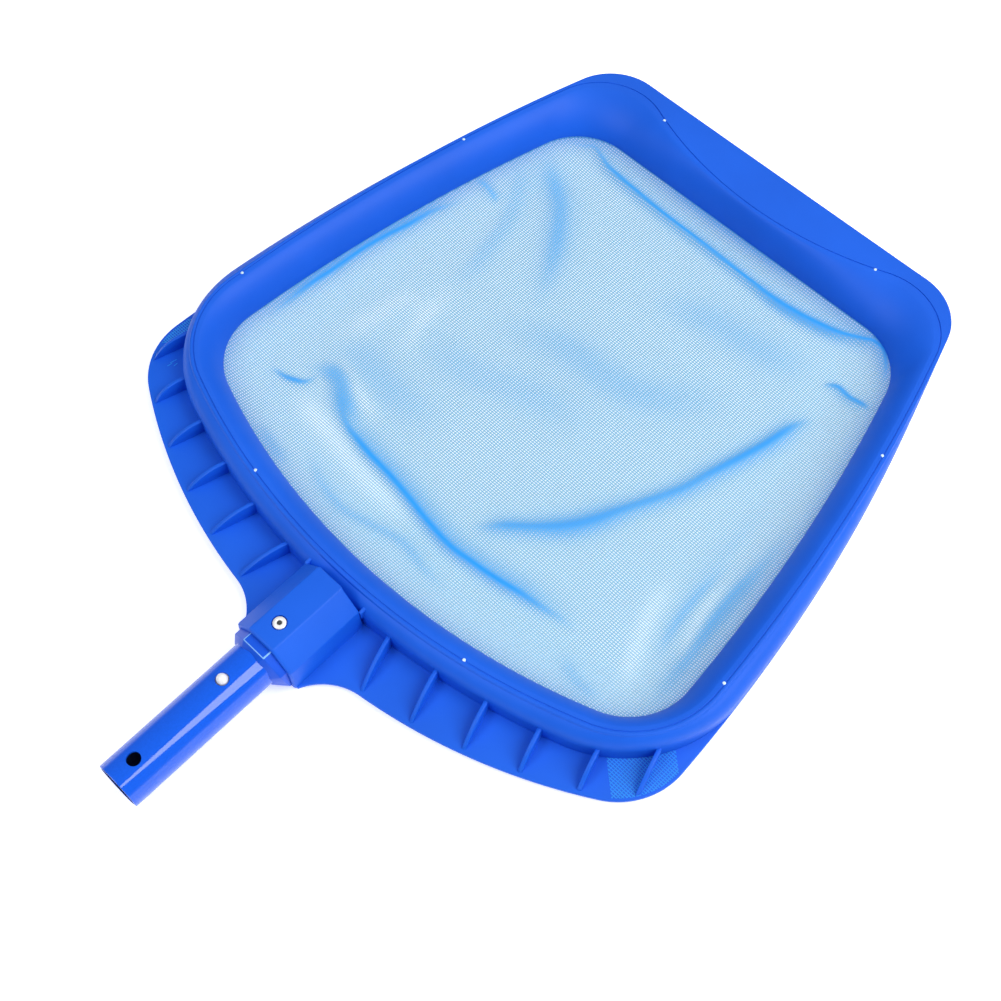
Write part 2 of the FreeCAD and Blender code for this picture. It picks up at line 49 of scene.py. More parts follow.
camData = bpy.data.cameras.new("photoCamera")
camData.lens = photoView["lens"]
camData.sensor_width = photoView["sensor"]
camData.sensor_fit = "HORIZONTAL"
camData.clip_start = 0.01
camera = bpy.data.objects.new("photoCamera", camData)
scene.collection.objects.link(camera)
camera.location = photoView["place"]
lookLine = Vector(photoView["aim"]) - Vector(photoView["place"])
camera.rotation_euler = lookLine.to_track_quat("-Z", "Y").to_euler()
scene.camera = camera
print("camera set")


# finishes
nodeSettings = ("operation", "data_type", "attribute_name", "interpolation_type", "use_clamp", "clamp")


def newMaterial(name):
    material = bpy.data.materials.new(name)
    material.use_nodes = True
    material.node_tree.nodes.clear()
    return material, material.node_tree


def addNode(tree, kind, **values):
    # a value is a setting or an input's; second is a maths node's second input
    node = tree.nodes.new("ShaderNode" + kind)
    for key, value in values.items():
        if key in nodeSettings:
            setattr(node, key, value)
        else:
            node.inputs[1 if key == "second" else key.replace("_", " ")].default_value = value
    return node


def addRamp(tree, colours, places=(0.0, 1.0)):
    ramp = addNode(tree, "ValToRGB")
    for end, colour, place in zip(ramp.color_ramp.elements, colours, places):
        end.color = (*colour, 1)
        end.position = place
    return ramp


def wire(tree, *paths):
    for source, output, target, socket in paths:
        tree.links.new(source.outputs[output], target.inputs[socket])


def makeFinish(name, s):
    # two close tones in a slow noise, and a finer noise for roughness and bump; metals use one for both
    material, tree = newMaterial(name)
    output = addNode(tree, "OutputMaterial")
    shader = addNode(tree, "BsdfPrincipled", Metallic=s["metallic"], Specular_IOR_Level=s["specular"],
                     Coat_Weight=s["coat"], Coat_Roughness=s["coatRough"], Coat_IOR=s["coatIor"])
    coords = addNode(tree, "TexCoord")
    stretch = addNode(tree, "Mapping", Scale=s["stretch"])
    noises = []
    for scale, detail, roughness in (s["cloud"], s.get("grain", s["cloud"])):
        noises.append(addNode(tree, "TexNoise", Scale=scale, Detail=detail, Roughness=roughness))
    cloud, grain = noises
    ramp = addRamp(tree, s["colours"], s["ends"])
    rough = addNode(tree, "MapRange", To_Min=s["rough"][0], To_Max=s["rough"][1])
    bump = addNode(tree, "Bump", Strength=s["bump"], Distance=s["bumpReach"])
    wire(tree, (coords, "Object", stretch, "Vector"), (stretch, "Vector", cloud, "Vector"),
         (stretch, "Vector", grain, "Vector"), (cloud, "Fac", ramp, "Fac"),
         (ramp, "Color", shader, "Base Color"), (grain, "Fac", rough, "Value"),
         (rough, "Result", shader, "Roughness"), (grain, "Fac", bump, "Height"),
         (bump, "Normal", shader, "Normal"), (shader, "BSDF", output, "Surface"))
    return material


# cloud and grain are a noise's scale, detail and roughness; rough is the range of the surface's roughness
metal = {"metallic": 0.0, "specular": 0.5, "coat": 0.0, "coatRough": 0.04, "coatIor": 1.5,
         "stretch": (1, 1, 1), "ends": (0.3, 0.7), "bumpReach": 0.0001}
moulded = dict(metal, specular=0.25, ends=(0.35, 0.65), grain=(2600.0, 2.0, 0.6), bumpReach=0.0002)
collarMoulded = dict(moulded, cloud=(30.0, 3.0, 0.5), rough=(0.36, 0.45), bump=0.06)
finishes = {
    "ringBlue": dict(moulded, colours=((0.0045, 0.104, 0.68), (0.006, 0.118, 0.75)), cloud=(14.0, 3.0, 0.5),
                     rough=(0.46, 0.55), bump=0.10),
    "collarBlue": dict(collarMoulded, colours=((0.003, 0.084, 0.66), (0.005, 0.098, 0.74))),
    "tubePaint": dict(metal, colours=((0.004, 0.100, 0.72), (0.006, 0.110, 0.78)), cloud=(900.0, 3.0, 0.55),
                      rough=(0.36, 0.54), specular=0.0, coat=1.0, coatIor=1.54, bump=0.01),
    # near-black: painted shade for the dim inside of the tube
    "tubeBorePaintedShade": dict(metal, colours=((0.004, 0.012, 0.05), (0.006, 0.018, 0.08)), cloud=(600.0, 3.0, 0.55),
                     rough=(0.56, 0.84), specular=0.1, bump=0.05),
    # a lighter blue that stands for a painted highlight on the collar's front edge and ridge
    "collarPaintedHighlight": dict(collarMoulded, colours=((0.20, 0.46, 0.86), (0.26, 0.54, 0.92))),
    "clipSteel": dict(metal, colours=((0.55, 0.56, 0.58), (0.72, 0.73, 0.75)), cloud=(1800.0, 3.0, 0.55),
                      rough=(0.224, 0.336), metallic=1.0, stretch=(1, 0.15, 1), bump=0.15),
    "rivetMetal": dict(metal, colours=((0.86, 0.86, 0.87), (0.95, 0.95, 0.95)), cloud=(900.0, 3.0, 0.55),
                       rough=(0.32, 0.48), metallic=0.25, bump=0.12),
    "zincPlate": dict(metal, colours=((0.66, 0.86, 0.92), (0.78, 0.94, 0.98)), cloud=(900.0, 3.0, 0.55),
                      rough=(0.28, 0.42), metallic=0.2, bump=0.1),
    "mandrelSteel": dict(metal, colours=((0.05, 0.055, 0.06), (0.16, 0.165, 0.17)), cloud=(1500.0, 3.0, 0.55),
                         rough=(0.32, 0.48), metallic=0.8, bump=0.2),
    "buttonWhite": dict(metal, colours=((0.80, 0.80, 0.84), (0.88, 0.88, 0.92)), cloud=(400.0, 3.0, 0.55),
                        rough=(0.24, 0.36), coat=0.3, bump=0.05),
}
finish = {name: makeFinish(name, settings) for name, settings in finishes.items()}
print("plastic and metal finishes made")


# shared ways of making a mesh, in millimetres
sharpAngle = 35.0


def newObject(name, verts, faces):
    mesh = bpy.data.meshes.new(name)
    mesh.from_pydata([tuple(float(c) * 0.001 for c in v) for v in verts], [], faces)
    thing = bpy.data.objects.new(name, mesh)
    scene.collection.objects.link(thing)
    return thing


def smoothFaces(mesh, sharp):
    for face in mesh.polygons:
        face.use_smooth = True
    mesh.set_sharp_from_angle(angle=math.radians(sharp))


def tidyMesh(mesh, sharp, weld=0.0):
    work = bmesh.new()
    work.from_mesh(mesh)
    if weld:
        bmesh.ops.remove_doubles(work, verts=work.verts, dist=weld)
    bmesh.ops.recalc_face_normals(work, faces=work.faces)
    work.to_mesh(mesh)
    work.free()
    smoothFaces(mesh, sharp)


def finishPiece(name, shape, material, node, body="skimmer", sharp=sharpAngle):
    piece = newObject(name, *shape)
    piece.data.validate()
    tidyMesh(piece.data, sharp)
    piece.data.materials.append(material)
    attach(piece, body)
    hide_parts(node)
    return piece


def paintFaces(piece, material, picked):
    # a second finish on the faces whose centres are picked
    piece.data.materials.append(material)
    for face in piece.data.polygons:
        if picked(face.center * 1000):
            face.material_index = len(piece.data.materials) - 1


def cutAway(piece, cutters):
    # takes cutter shapes out of a piece
    helpers = []
    for index, shape in enumerate(cutters):
        helper = newObject(piece.name + "Cutter", *shape)
        tidyMesh(helper.data, 30, weld=1e-6)
        helpers.append(helper)
        cut = piece.modifiers.new("cut%d" % index, "BOOLEAN")
        cut.operation = "DIFFERENCE"
        cut.solver = "EXACT"
        cut.object = helper
    bpy.context.view_layer.update()
    whole = bpy.data.meshes.new_from_object(piece.evaluated_get(bpy.context.evaluated_depsgraph_get()))
    piece.modifiers.clear()
    old = piece.data
    piece.data = whole
    bpy.data.meshes.remove(old)
    for helper in helpers:
        bpy.data.objects.remove(helper)
    smoothFaces(whole, sharpAngle)


def skin(rows, closed=True, capEnds=False):
    # quads between rows of points; closed joins the last row to the first
    count, total = len(rows[0]), len(rows)
    verts = [tuple(p) for row in rows for p in row]
    faces = []
    for i in range(total if closed else total - 1):
        j = (i + 1) % total
        for k in range(count):
            n = (k + 1) % count
            faces.append((i * count + k, i * count + n, j * count + n, j * count + k))
    if capEnds:
        faces.append(tuple(range(count)))
        faces.append(tuple(reversed(range((total - 1) * count, total * count))))
    return verts, faces


def joinParts(parts):
    verts, faces = [], []
    for partVerts, partFaces in parts:
        offset = len(verts)
        verts.extend(partVerts)
        faces.extend(tuple(i + offset for i in face) for face in partFaces)
    return verts, faces


def bend(start, corner, end, steps):
    # a soft curve from start to end, drawn towards the corner
    shares = [k / steps for k in range(steps + 1)]
    return [start * (1 - t) ** 2 + corner * 2 * t * (1 - t) + end * t ** 2 for t in shares]


def softenRows(rows, radii, closed=True, steps=5):
    # rounds the rows that have a radius, and puts a row near each end of a long straight
    total = len(rows)
    out = []
    for i, (row, radius) in enumerate(zip(rows, radii)):
        if radius <= 0 or (not closed and i in (0, total - 1)):
            out.append(row)
            continue
        ends = []
        for other in (rows[i - 1], rows[(i + 1) % total]):
            span = np.linalg.norm(other - row, axis=1, keepdims=True) + 1e-9
            ends.append(row + (other - row) * np.minimum(0.46, radius / span))
        out += bend(ends[0], row, ends[1], steps)
    held = []
    for i, row in enumerate(out):
        held.append(row)
        if not closed and i == len(out) - 1:
            break
        after = out[(i + 1) % len(out)]
        span = np.linalg.norm(after - row, axis=1, keepdims=True)
        if span.mean() > 1.5:
            share = np.minimum(0.3, 0.35 / (span + 1e-9))
            held.append(row + (after - row) * share)
            held.append(after + (row - after) * share)
    return held


def lathe(profile, place, steps=48, axis="z"):
    # profile is (radius, height) from the bottom to the top; radius 0 closes an end
    verts, faces, rings = [], [], []
    for radius, height in profile:
        ring = []
        for k in range(steps if radius else 1):
            a = 2 * math.pi * k / steps
            out, side, up = radius * math.cos(a), radius * math.sin(a), height
            if axis == "y":
                side, up = up, side
            ring.append(len(verts))
            verts.append((place[0] + out, place[1] + side, place[2] + up))
        rings.append(ring)
    for low, high in zip(rings, rings[1:]):
        for k in range(steps if len(low) + len(high) > 2 else 0):
            n = (k + 1) % steps
            if len(low) == 1:
                faces.append((low[0], high[n], high[k]))
            elif len(high) == 1:
                faces.append((low[k], low[n], high[0]))
            else:
                faces.append((low[k], low[n], high[n], high[k]))
    return verts, faces


def roundCorner(before, here, after, radius, steps):
    here = np.array(here, float)
    ends = []
    for other in (before, after):
        line = np.array(other, float) - here
        length = np.linalg.norm(line)
        ends.append(here + line / length * min(radius, length * 0.45))
    return bend(ends[0], here, ends[1], steps)


def roundedProfile(points, radius, steps):
    # rounds the corners of a lathe profile, ends left alone
    out = [points[0]]
    for before, here, after in zip(points, points[1:], points[2:]):
        out += [tuple(p) for p in roundCorner(before, here, after, radius, steps)]
    return out + [points[-1]]


# outlines of the mouth, the seam groove, the wall's foot, the crest and the flange, seen from above
mouthLine = {"rear": 163.7, "rearR": 433.5, "half": 178.5, "wide": 163.7, "sideR": 1104.0, "cornerR": 42.5,
             "tipR": 40.0, "front": 487.1, "bow": 0.0}
seamLine = {"rear": 148.1, "rearR": 439.0, "half": 193.9, "wide": 161.3, "sideR": 1183.0, "cornerR": 59.7,
            "tipR": 42.3, "front": 496.1, "bow": 1 / 244.6}
footLine = {"rear": 138.8, "rearR": 454.0, "half": 204.7, "wide": 154.4, "sideR": 1031.5, "cornerR": 79.4,
            "tipR": 40.0, "front": 518.6, "bow": 0.0}
flangeLine = dict(footLine, rear=105.2, rearR=352.3, cornerR=46.0)
arcSteps = {"rear": 46, "corner": 34, "side": 60, "tip": 30, "front": 44}


def movedIn(shape, distance):
    moved = dict(shape)
    moved["rear"] += distance
    moved["front"] -= distance
    moved["bow"] = shape["bow"] / (1 + shape["bow"] * distance)
    for key in ("rearR", "half", "sideR", "cornerR", "tipR"):
        moved[key] -= distance
    return moved


def between(first, second, share):
    return {key: first[key] + (second[key] - first[key]) * share for key in first}


crestLine = dict(movedIn(seamLine, -2.0), front=526.6, tipR=36.0, bow=0.0)
seamInner = movedIn(seamLine, 1.4)


def circlesMeet(a, ra, b, rb, side):
    dx, dy = b[0] - a[0], b[1] - a[1]
    span = math.hypot(dx, dy)
    forward = (ra ** 2 - rb ** 2 + span ** 2) / (2 * span)
    across = side * math.sqrt(ra ** 2 - forward ** 2)
    return np.array((a[0] + (dx * forward - dy * across) / span, a[1] + (dy * forward + dx * across) / span))


def arcPoints(centre, start, end, steps):
    a = math.atan2(start[1] - centre[1], start[0] - centre[0])
    b = math.atan2(end[1] - centre[1], end[0] - centre[0])
    turn = (b - a + math.pi) % (2 * math.pi) - math.pi
    radius = math.hypot(start[0] - centre[0], start[1] - centre[1])
    angles = a + turn * np.arange(steps) / steps
    return np.stack([centre[0] + radius * np.cos(angles), centre[1] + radius * np.sin(angles)], axis=1)


def along(centre, through, radius):
    line = np.array(through, float) - centre
    return np.array(centre, float) + line / np.linalg.norm(line) * radius


def arcDrop(radius, offset):
    # how far an arc falls back at an offset from its middle
    return radius - math.sqrt(radius ** 2 - offset ** 2)


def arcCentres(shape):
    # of the rear arc, the side arc and the corner between them
    rear = np.array((0.0, shape["rear"] + shape["rearR"]))
    side = np.array((shape["half"] - shape["sideR"], shape["wide"]))
    corner = circlesMeet(rear, shape["rearR"] - shape["cornerR"], side, shape["sideR"] - shape["cornerR"], 1)
    return rear, side, corner


def tracePoints(shape):
    # the whole outline as points, from the middle of the rear round by the right
    rear, side, corner = arcCentres(shape)
    tipR = shape["tipR"]
    middle = np.array((0.0, shape["front"]))
    if shape["bow"]:
        frontR = 1 / shape["bow"]
        front = middle + np.array((0.0, frontR))
        tip = circlesMeet(side, shape["sideR"] - tipR, front, frontR + tipR, -1)
        tipEnd = along(tip, front, tipR)
        frontPart = arcPoints(front, tipEnd, middle, arcSteps["front"])
    else:
        tipY = shape["front"] - tipR
        tip = np.array((side[0] + math.sqrt((shape["sideR"] - tipR) ** 2 - (tipY - side[1]) ** 2), tipY))
        tipEnd = np.array((tip[0], shape["front"]))
        share = np.arange(arcSteps["front"])[:, None] / arcSteps["front"]
        frontPart = tipEnd * (1 - share) + middle * share
    rearEnd = along(rear, corner, shape["rearR"])
    sideStart, sideEnd = along(side, corner, shape["sideR"]), along(side, tip, shape["sideR"])
    right = np.concatenate([arcPoints(rear, (0, shape["rear"]), rearEnd, arcSteps["rear"]),
                            arcPoints(corner, rearEnd, sideStart, arcSteps["corner"]),
                            arcPoints(side, sideStart, sideEnd, arcSteps["side"]),
                            arcPoints(tip, sideEnd, tipEnd, arcSteps["tip"]), frontPart])
    return np.concatenate([right, [middle], right[:0:-1] * np.array((-1.0, 1.0))])


def rowAt(shape, z):
    flat = tracePoints(shape)
    return np.column_stack([flat, np.full(len(flat), z)])


def crossings(flat, point, direction):
    # where a line crosses an outline
    rel = flat - point
    side = rel[:, 0] * direction[1] - rel[:, 1] * direction[0]
    after, sideAfter = np.roll(flat, -1, axis=0), np.roll(side, -1)
    cut = (side * sideAfter <= 0) & (side != sideAfter)
    share = side[cut] / (side[cut] - sideAfter[cut])
    return flat[cut] + (after[cut] - flat[cut]) * share[:, None]


# heights, in millimetres above the tube's axis, and how the shoulder and the funnel curve
heights = {"flange": -10.6, "flangeUnder": -13.0, "wallTop": 0.0, "crest": 10.6, "seat": 7.0, "ledge": 5.0}
curves = {"shoulderTurn": 65, "shoulderRise": 9.6, "funnelTop": 8.9, "funnelBow": 0.8, "funnelPower": 1.8}


def shoulderAt(share):
    sweep = math.radians(curves["shoulderTurn"])
    angle = sweep * share
    return (between(footLine, crestLine, (1 - math.cos(angle)) / (1 - math.cos(sweep))),
            heights["wallTop"] + curves["shoulderRise"] * math.sin(angle) / math.sin(sweep))


def funnelAt(z):
    # the funnel's face, bowed towards the net
    left = (z - heights["flange"]) / (curves["funnelTop"] - heights["flange"])
    return between(seamInner, mouthLine, 1 - curves["funnelBow"] * left ** curves["funnelPower"])


# upper moulding: outer wall, rounded shoulder, lip and ledge, with ribs and fins
upperFrame = {"footEdge": 0.2, "crestEdge": 1.1, "grooveEdge": 0.55, "shoulderRows": 18, "wall": 2.4,
              "ledgeWidth": 4.5, "ledgeShare": 0.55, "ribThickness": 2.4, "ribTilt": 16.3, "ribStart": 39.7,
              "ribPitch": 32.0, "ribLastPitch": 28.4, "ribCrown": 3.4, "ribSetback": 2.0, "ribEdge": 0.55,
              "ribRoot": 0.3, "ribSink": 0.2, "ribBite": 0.8,
              "ribShares": (0.0, 0.03, 0.08, 0.15, 0.25, 0.37, 0.5, 0.63, 0.75, 0.87, 0.95, 1.0)}
fin = {"inner": 20.5, "outer": 22.5, "edge": 0.4, "root": -0.5,
       "tops": ((138.0, 5.6), (140.0, 6.2), (143.0, 6.5), (146.0, 6.5))}


def makeUpperShell(s):
    rows, radii = [rowAt(footLine, heights["flange"])], [s["footEdge"]]
    for k in range(s["shoulderRows"]):
        rows.append(rowAt(*shoulderAt(k / s["shoulderRows"])))
        radii.append(0.0)
    ledge, wall = movedIn(seamLine, s["ledgeWidth"]), movedIn(footLine, s["wall"])
    rows += [rowAt(crestLine, heights["crest"]), rowAt(seamLine, heights["crest"]),
             rowAt(seamLine, heights["seat"]), rowAt(ledge, heights["seat"]), rowAt(ledge, heights["ledge"]),
             rowAt(movedIn(shoulderAt(s["ledgeShare"])[0], s["wall"]), heights["ledge"]),
             rowAt(wall, heights["wallTop"]), rowAt(wall, heights["flange"])]
    radii += [s["crestEdge"], s["grooveEdge"]] + [0.0] * 6
    return skin(softenRows(rows, radii))


def makeRib(s, offset, mirror):
    tilt = math.radians(s["ribTilt"])
    run = np.array((-math.sin(tilt), math.cos(tilt)))
    across = np.array((math.cos(tilt), math.sin(tilt)))
    base = np.array((0.0, footLine["rear"])) + across * offset
    low = movedIn(flangeLine, s["ribSetback"])
    half, edge = s["ribThickness"] / 2, s["ribEdge"]
    lanes = [(half, None), (half, edge), (half - 0.3 * edge, 0.3 * edge), (half - edge, 0.0)]
    lanes = [(-lane, drop) for lane, drop in lanes] + lanes[::-1]
    rows = []
    for share in s["ribShares"]:
        rise = 4 * s["ribCrown"] * share * (1 - share) - heights["flange"] * share
        shape = movedIn(footLine, s["ribBite"]) if share == 1.0 else between(low, footLine, share)
        outline = tracePoints(shape)
        row = []
        for lane, drop in lanes:
            hits = crossings(outline, base + across * lane, run)
            x, y = hits[np.argmin(hits[:, 1])]
            lift = -s["ribRoot"] if drop is None else max(rise - drop, -s["ribSink"])
            row.append((x * mirror, y, heights["flange"] + lift))
        rows.append(np.array(row))
    return skin(rows, closed=False, capEnds=True)


def makeFin(s, mirror):
    # short fin between the socket's end and the shoulder
    inner, outer, edge, root = s["inner"], s["outer"], s["edge"], s["root"]
    rows = []
    for y, top in s["tops"]:
        corners = ((inner, root), (inner, top - edge), (inner + edge, top), (outer - edge, top),
                   (outer, top - edge), (outer, root))
        rows.append(np.array([(mirror * x, y, z) for x, z in corners]))
    return skin(rows, closed=False, capEnds=True)


ribOffsets = [upperFrame["ribStart"] + upperFrame["ribPitch"] * k for k in range(5)]
ribOffsets.append(ribOffsets[-1] + upperFrame["ribLastPitch"])
upperParts = [makeUpperShell(upperFrame)]
upperParts += [makeRib(upperFrame, offset, mirror) for offset in ribOffsets for mirror in (1, -1)]
upperParts += [makeFin(fin, mirror) for mirror in (1, -1)]
finishPiece("upperMoulding", joinParts(upperParts), finish["ringBlue"], "top_frame")
print("upper moulding made")


# inner ring: funnel, rim and the foot that clamps the cloth
innerFunnel = {"grooveWidth": 0.5, "grooveDepth": 0.55, "grooveEdge": 0.35, "gap": 0.05, "bow": 1.6,
               "faceRows": 26, "firstShare": 0.09, "mouthEdge": 0.4, "footWidth": 6.0, "footTop": -9.0,
               "wall": 2.3, "wallBends": (-4.1, 2.4)}


def makeInnerRing(s):
    # the face runs in one curve from the groove down to the mouth
    rim, outer = movedIn(seamLine, s["gap"]), movedIn(seamLine, s["grooveWidth"])
    floor = heights["crest"] - s["grooveDepth"]
    rows = [rowAt(rim, heights["seat"]), rowAt(rim, floor), rowAt(outer, floor),
            rowAt(outer, heights["crest"])]
    radii = [0, 0, 0, s["grooveEdge"]]
    drop = heights["crest"] - heights["flange"]
    for k in range(1, s["faceRows"]):
        turn = math.pi / 2 * k / s["faceRows"]
        share = math.sin(turn) ** (2 / s["bow"])
        if share > s["firstShare"]:
            rows.append(rowAt(between(seamInner, mouthLine, share),
                              heights["flange"] + drop * math.cos(turn) ** (2 / s["bow"])))
            radii.append(0)
    foot = movedIn(mouthLine, -s["footWidth"])
    rows += [rowAt(mouthLine, heights["flange"]), rowAt(foot, heights["flange"]), rowAt(foot, s["footTop"])]
    for z in (s["footTop"], *s["wallBends"], heights["seat"]):
        rows.append(rowAt(movedIn(funnelAt(z), -s["wall"]), z))
    radii += [s["mouthEdge"]] + [0] * 6
    return skin(softenRows(rows, radii))


finishPiece("innerRing", makeInnerRing(innerFunnel), finish["ringBlue"], "inner_ring")
print("inner ring made")


# lower moulding: flange with its hollow necks, and the faceted socket
lowerFrame = {"neckR": 34.6, "neckStart": (23.1, 88.5), "neckSteps": 26, "edge": 0.5, "hemShare": 0.6,
              "hemGap": 0.3, "hemDepth": 0.5, "holeGap": 1.0, "socketFront": 87.5, "socketEnd": 138.1,
              "socketWall": 2.9, "endWall": 2.4, "endRound": 0.8, "cornerRound": 0.9, "frontRound": 1.5,
              "cavityRound": 0.6, "leadIn": 0.4, "rings": (90.0, 100.0, 110.0, 120.0, 130.0),
              "endInset": 2.0, "endCorner": 0.3, "neckClear": 0.5, "roofBulge": 1.7,
              "bulgeHalf": 10.0, "bulgeAbove": 12.0, "rivetY": 101.4, "recessR": 4.35, "recessDepth": 0.6,
              "recessTop": 3.0, "gapInner": 3.85, "gapDepth": 1.9, "gapHeight": 1.6,
              "nibPlace": (12.9, 137.9, 15.0),
              "nibProfile": [(0, 0), (0.9, 0), (0.75, 1.4), (0.45, 2.1), (0, 2.3)]}
socketSection = [(9.2, 19.4), (21.3, 6.3), (22.5, -10.6), (22.5, -13.0), (9.2, -19.4)]


def offsetSection(gap):
    loop = [np.array(p, float) for p in socketSection]
    loop += [p * np.array((-1, 1)) for p in reversed(loop)]
    lines = []
    for a, b in zip(loop, loop[1:] + loop[:1]):
        d = (b - a) / np.linalg.norm(b - a)
        n = np.array((d[1], -d[0]))  # the loop runs clockwise, so this points inwards
        lines.append((a + n * gap, d))
    corners = []
    for (pa, da), (pb, db) in zip(lines[-1:] + lines[:-1], lines):
        cross = da[0] * db[1] - da[1] * db[0]
        t = ((pb[0] - pa[0]) * db[1] - (pb[1] - pa[1]) * db[0]) / cross
        corners.append(pa + da * t)
    return corners


def sectionRow(gap, y, rounding):
    corners = offsetSection(gap)
    row = []
    for i, here in enumerate(corners):
        after = corners[(i + 1) % len(corners)]
        row += [(p[0], y, p[1]) for p in roundCorner(corners[i - 1], here, after, rounding, 5)]
    return np.array(row)


def makeSocket(s):
    front, end, wall = s["socketFront"], s["socketEnd"], s["socketWall"]
    nose, tail, corner = s["frontRound"], s["endRound"], s["cornerRound"]
    outer = []
    for k in range(6):  # rounded front edge
        a = math.radians(90 * k / 5)
        outer.append(sectionRow(nose * (1 - math.sin(a)), front + nose * (1 - math.cos(a)), corner))
    outer += [sectionRow(0, y, corner) for y in s["rings"]]
    for k in range(5):  # rounded rear edge
        a = math.radians(90 * k / 4)
        outer.append(sectionRow(tail * (1 - math.cos(a)), end - tail * (1 - math.sin(a)), corner))
    outer.append(sectionRow(wall + s["endInset"], end, s["endCorner"]))
    for row in outer[-6:]:  # the roof's end bulges towards the ring
        bulge = s["roofBulge"] * np.clip(1 - (row[:, 0] / s["bulgeHalf"]) ** 2, 0, 1)
        row[:, 1] += bulge * (row[:, 2] > s["bulgeAbove"])
    rounding = s["cavityRound"]
    inner = [sectionRow(wall, end - s["endWall"], rounding), sectionRow(wall, front + rounding, rounding),
             sectionRow(wall - s["leadIn"], front, rounding)]
    verts, faces = skin(outer, closed=False)
    count, base = len(outer[0]), len(verts)
    faces.append(tuple(reversed(range(base - count, base))))
    verts, faces = joinParts([(verts, faces), skin(inner, closed=False)])
    faces.append(tuple(range(base, base + count)))
    last = len(verts) - count
    for k in range(count):  # front face, from the cavity to the outer skin
        n = (k + 1) % count
        faces.append((last + k, last + n, n, k))
    return verts, faces


def flangeLoop(s):
    # the flange's outer edge with the hollow curves that run it into the socket
    rear = arcCentres(flangeLine)[0]
    start = np.array(s["neckStart"])
    centre = circlesMeet(rear, flangeLine["rearR"] + s["neckR"], start, s["neckR"], 1)
    end = along(centre, rear, s["neckR"])
    outline = tracePoints(flangeLine)
    half = outline[:len(outline) // 2 + 1]
    kept = half[half[:, 0] > end[0] + s["neckClear"]]
    right = np.concatenate([[(0.0, start[1])], arcPoints(centre, start, end, s["neckSteps"]), [end], kept,
                            half[-1:]])
    return np.concatenate([right, right[-2:0:-1] * np.array((-1.0, 1.0))])


def shrinkLoop(loop, distance):
    tangent = np.roll(loop, -1, axis=0) - np.roll(loop, 1, axis=0)
    tangent /= np.linalg.norm(tangent, axis=1, keepdims=True)
    return loop + np.stack([-tangent[:, 1], tangent[:, 0]], axis=1) * distance


def makeFlange(s):
    top, under, edge = heights["flange"], heights["flangeUnder"], s["edge"]
    loop = flangeLoop(s)
    turns = [math.radians(90 * k / 4) for k in range(5)]
    edges = [(edge * (1 - math.sin(a)), top - edge + edge * math.cos(a)) for a in turns]
    edges += [(edge * (1 - math.cos(a)), under + edge - edge * math.sin(a)) for a in turns]
    outer = [np.column_stack([shrinkLoop(loop, inset), np.full(len(loop), z)]) for inset, z in edges]
    hemLine = movedIn(between(mouthLine, seamLine, s["hemShare"]), -s["hemGap"])
    holeLine = movedIn(mouthLine, -s["holeGap"])
    inner = [rowAt(hemLine, top), rowAt(hemLine, top - s["hemDepth"]), rowAt(holeLine, top - s["hemDepth"]),
             rowAt(holeLine, under)]
    shell = skin(outer, closed=False)
    verts, faces = joinParts([shell, skin(inner, closed=False)])
    mesh = bmesh.new()
    made = [mesh.verts.new(v) for v in verts]
    for face in faces:
        mesh.faces.new([made[i] for i in face])
    base, sizes = len(shell[0]), (len(loop), len(inner[0]))
    for starts in ((0, base), (base - sizes[0], len(verts) - sizes[1])):  # the top face and the lower one
        ring = []
        for first, size in zip(starts, sizes):
            for k in range(size):
                pair = (made[first + k], made[first + (k + 1) % size])
                ring.append(mesh.edges.get(pair) or mesh.edges.new(pair))
        bmesh.ops.triangle_fill(mesh, use_beauty=True, use_dissolve=False, edges=ring)
    mesh.verts.index_update()
    filled = [tuple(v.co) for v in mesh.verts], [tuple(v.index for v in f.verts) for f in mesh.faces]
    mesh.free()
    return filled


def rivetRecess(s):
    # the shallow seat of the rivet's head, and the deeper gap round it
    roof, wide, inner = socketSection[0][1], s["recessR"], s["gapInner"]
    seat = [(0, 0), (wide, 0), (wide, s["recessTop"]), (0, s["recessTop"])]
    gap = [(inner, 0), (wide, 0), (wide, s["gapHeight"]), (inner, s["gapHeight"]), (inner, 0)]
    return [lathe(profile, (0, s["rivetY"], roof - depth), 64)
            for profile, depth in ((seat, s["recessDepth"]), (gap, s["gapDepth"]))]


lowerParts = [makeFlange(lowerFrame), makeSocket(lowerFrame),
              lathe(lowerFrame["nibProfile"], lowerFrame["nibPlace"], 16, "y")]
lowerMoulding = finishPiece("lowerMoulding", joinParts(lowerParts), finish["ringBlue"],
                            "base_frame")
cutAway(lowerMoulding, rivetRecess(lowerFrame))
print("lower moulding made")


# adapter collar in the socket, with a turned bevel on its nose, and a painted highlight in lighter blue on
# its front edge and on one ridge
collar = {"start": 79.4, "end": 135.6, "shoulder": 92.0, "gap": 3.0, "noseR": 14.9, "slope": 0.945,
          "bore": 14.3, "boreEnd": 125.6, "edges": [0, 0, 0.3, 0.3, 0.2, 0], "cornerRound": 0.5,
          "highlightEnd": 87.4, "highlightZ": (16.1, 16.398), "highlightHalf": 8.0, "ridgeZ": 16.0, "ridgeX": (7.4, 8.2)}


def makeCollar(s):
    flat = sectionRow(s["gap"], 0.0, s["cornerRound"])
    angle = np.arctan2(flat[:, 2], flat[:, 0])
    noseY = s["start"] + np.maximum(np.hypot(flat[:, 0], flat[:, 2]) - s["noseR"], 0) * s["slope"]
    level = np.ones(len(flat))
    rows = [np.column_stack([flat[:, 0], level * y, flat[:, 2]]) for y in (s["end"], s["shoulder"], noseY)]
    for radius, y in ((s["noseR"], s["start"]), (s["bore"], s["start"]), (s["bore"], s["boreEnd"])):
        rows.append(np.column_stack([radius * np.cos(angle), level * y, radius * np.sin(angle)]))
    return skin(softenRows(rows, s["edges"], closed=False, steps=4), closed=False, capEnds=True)
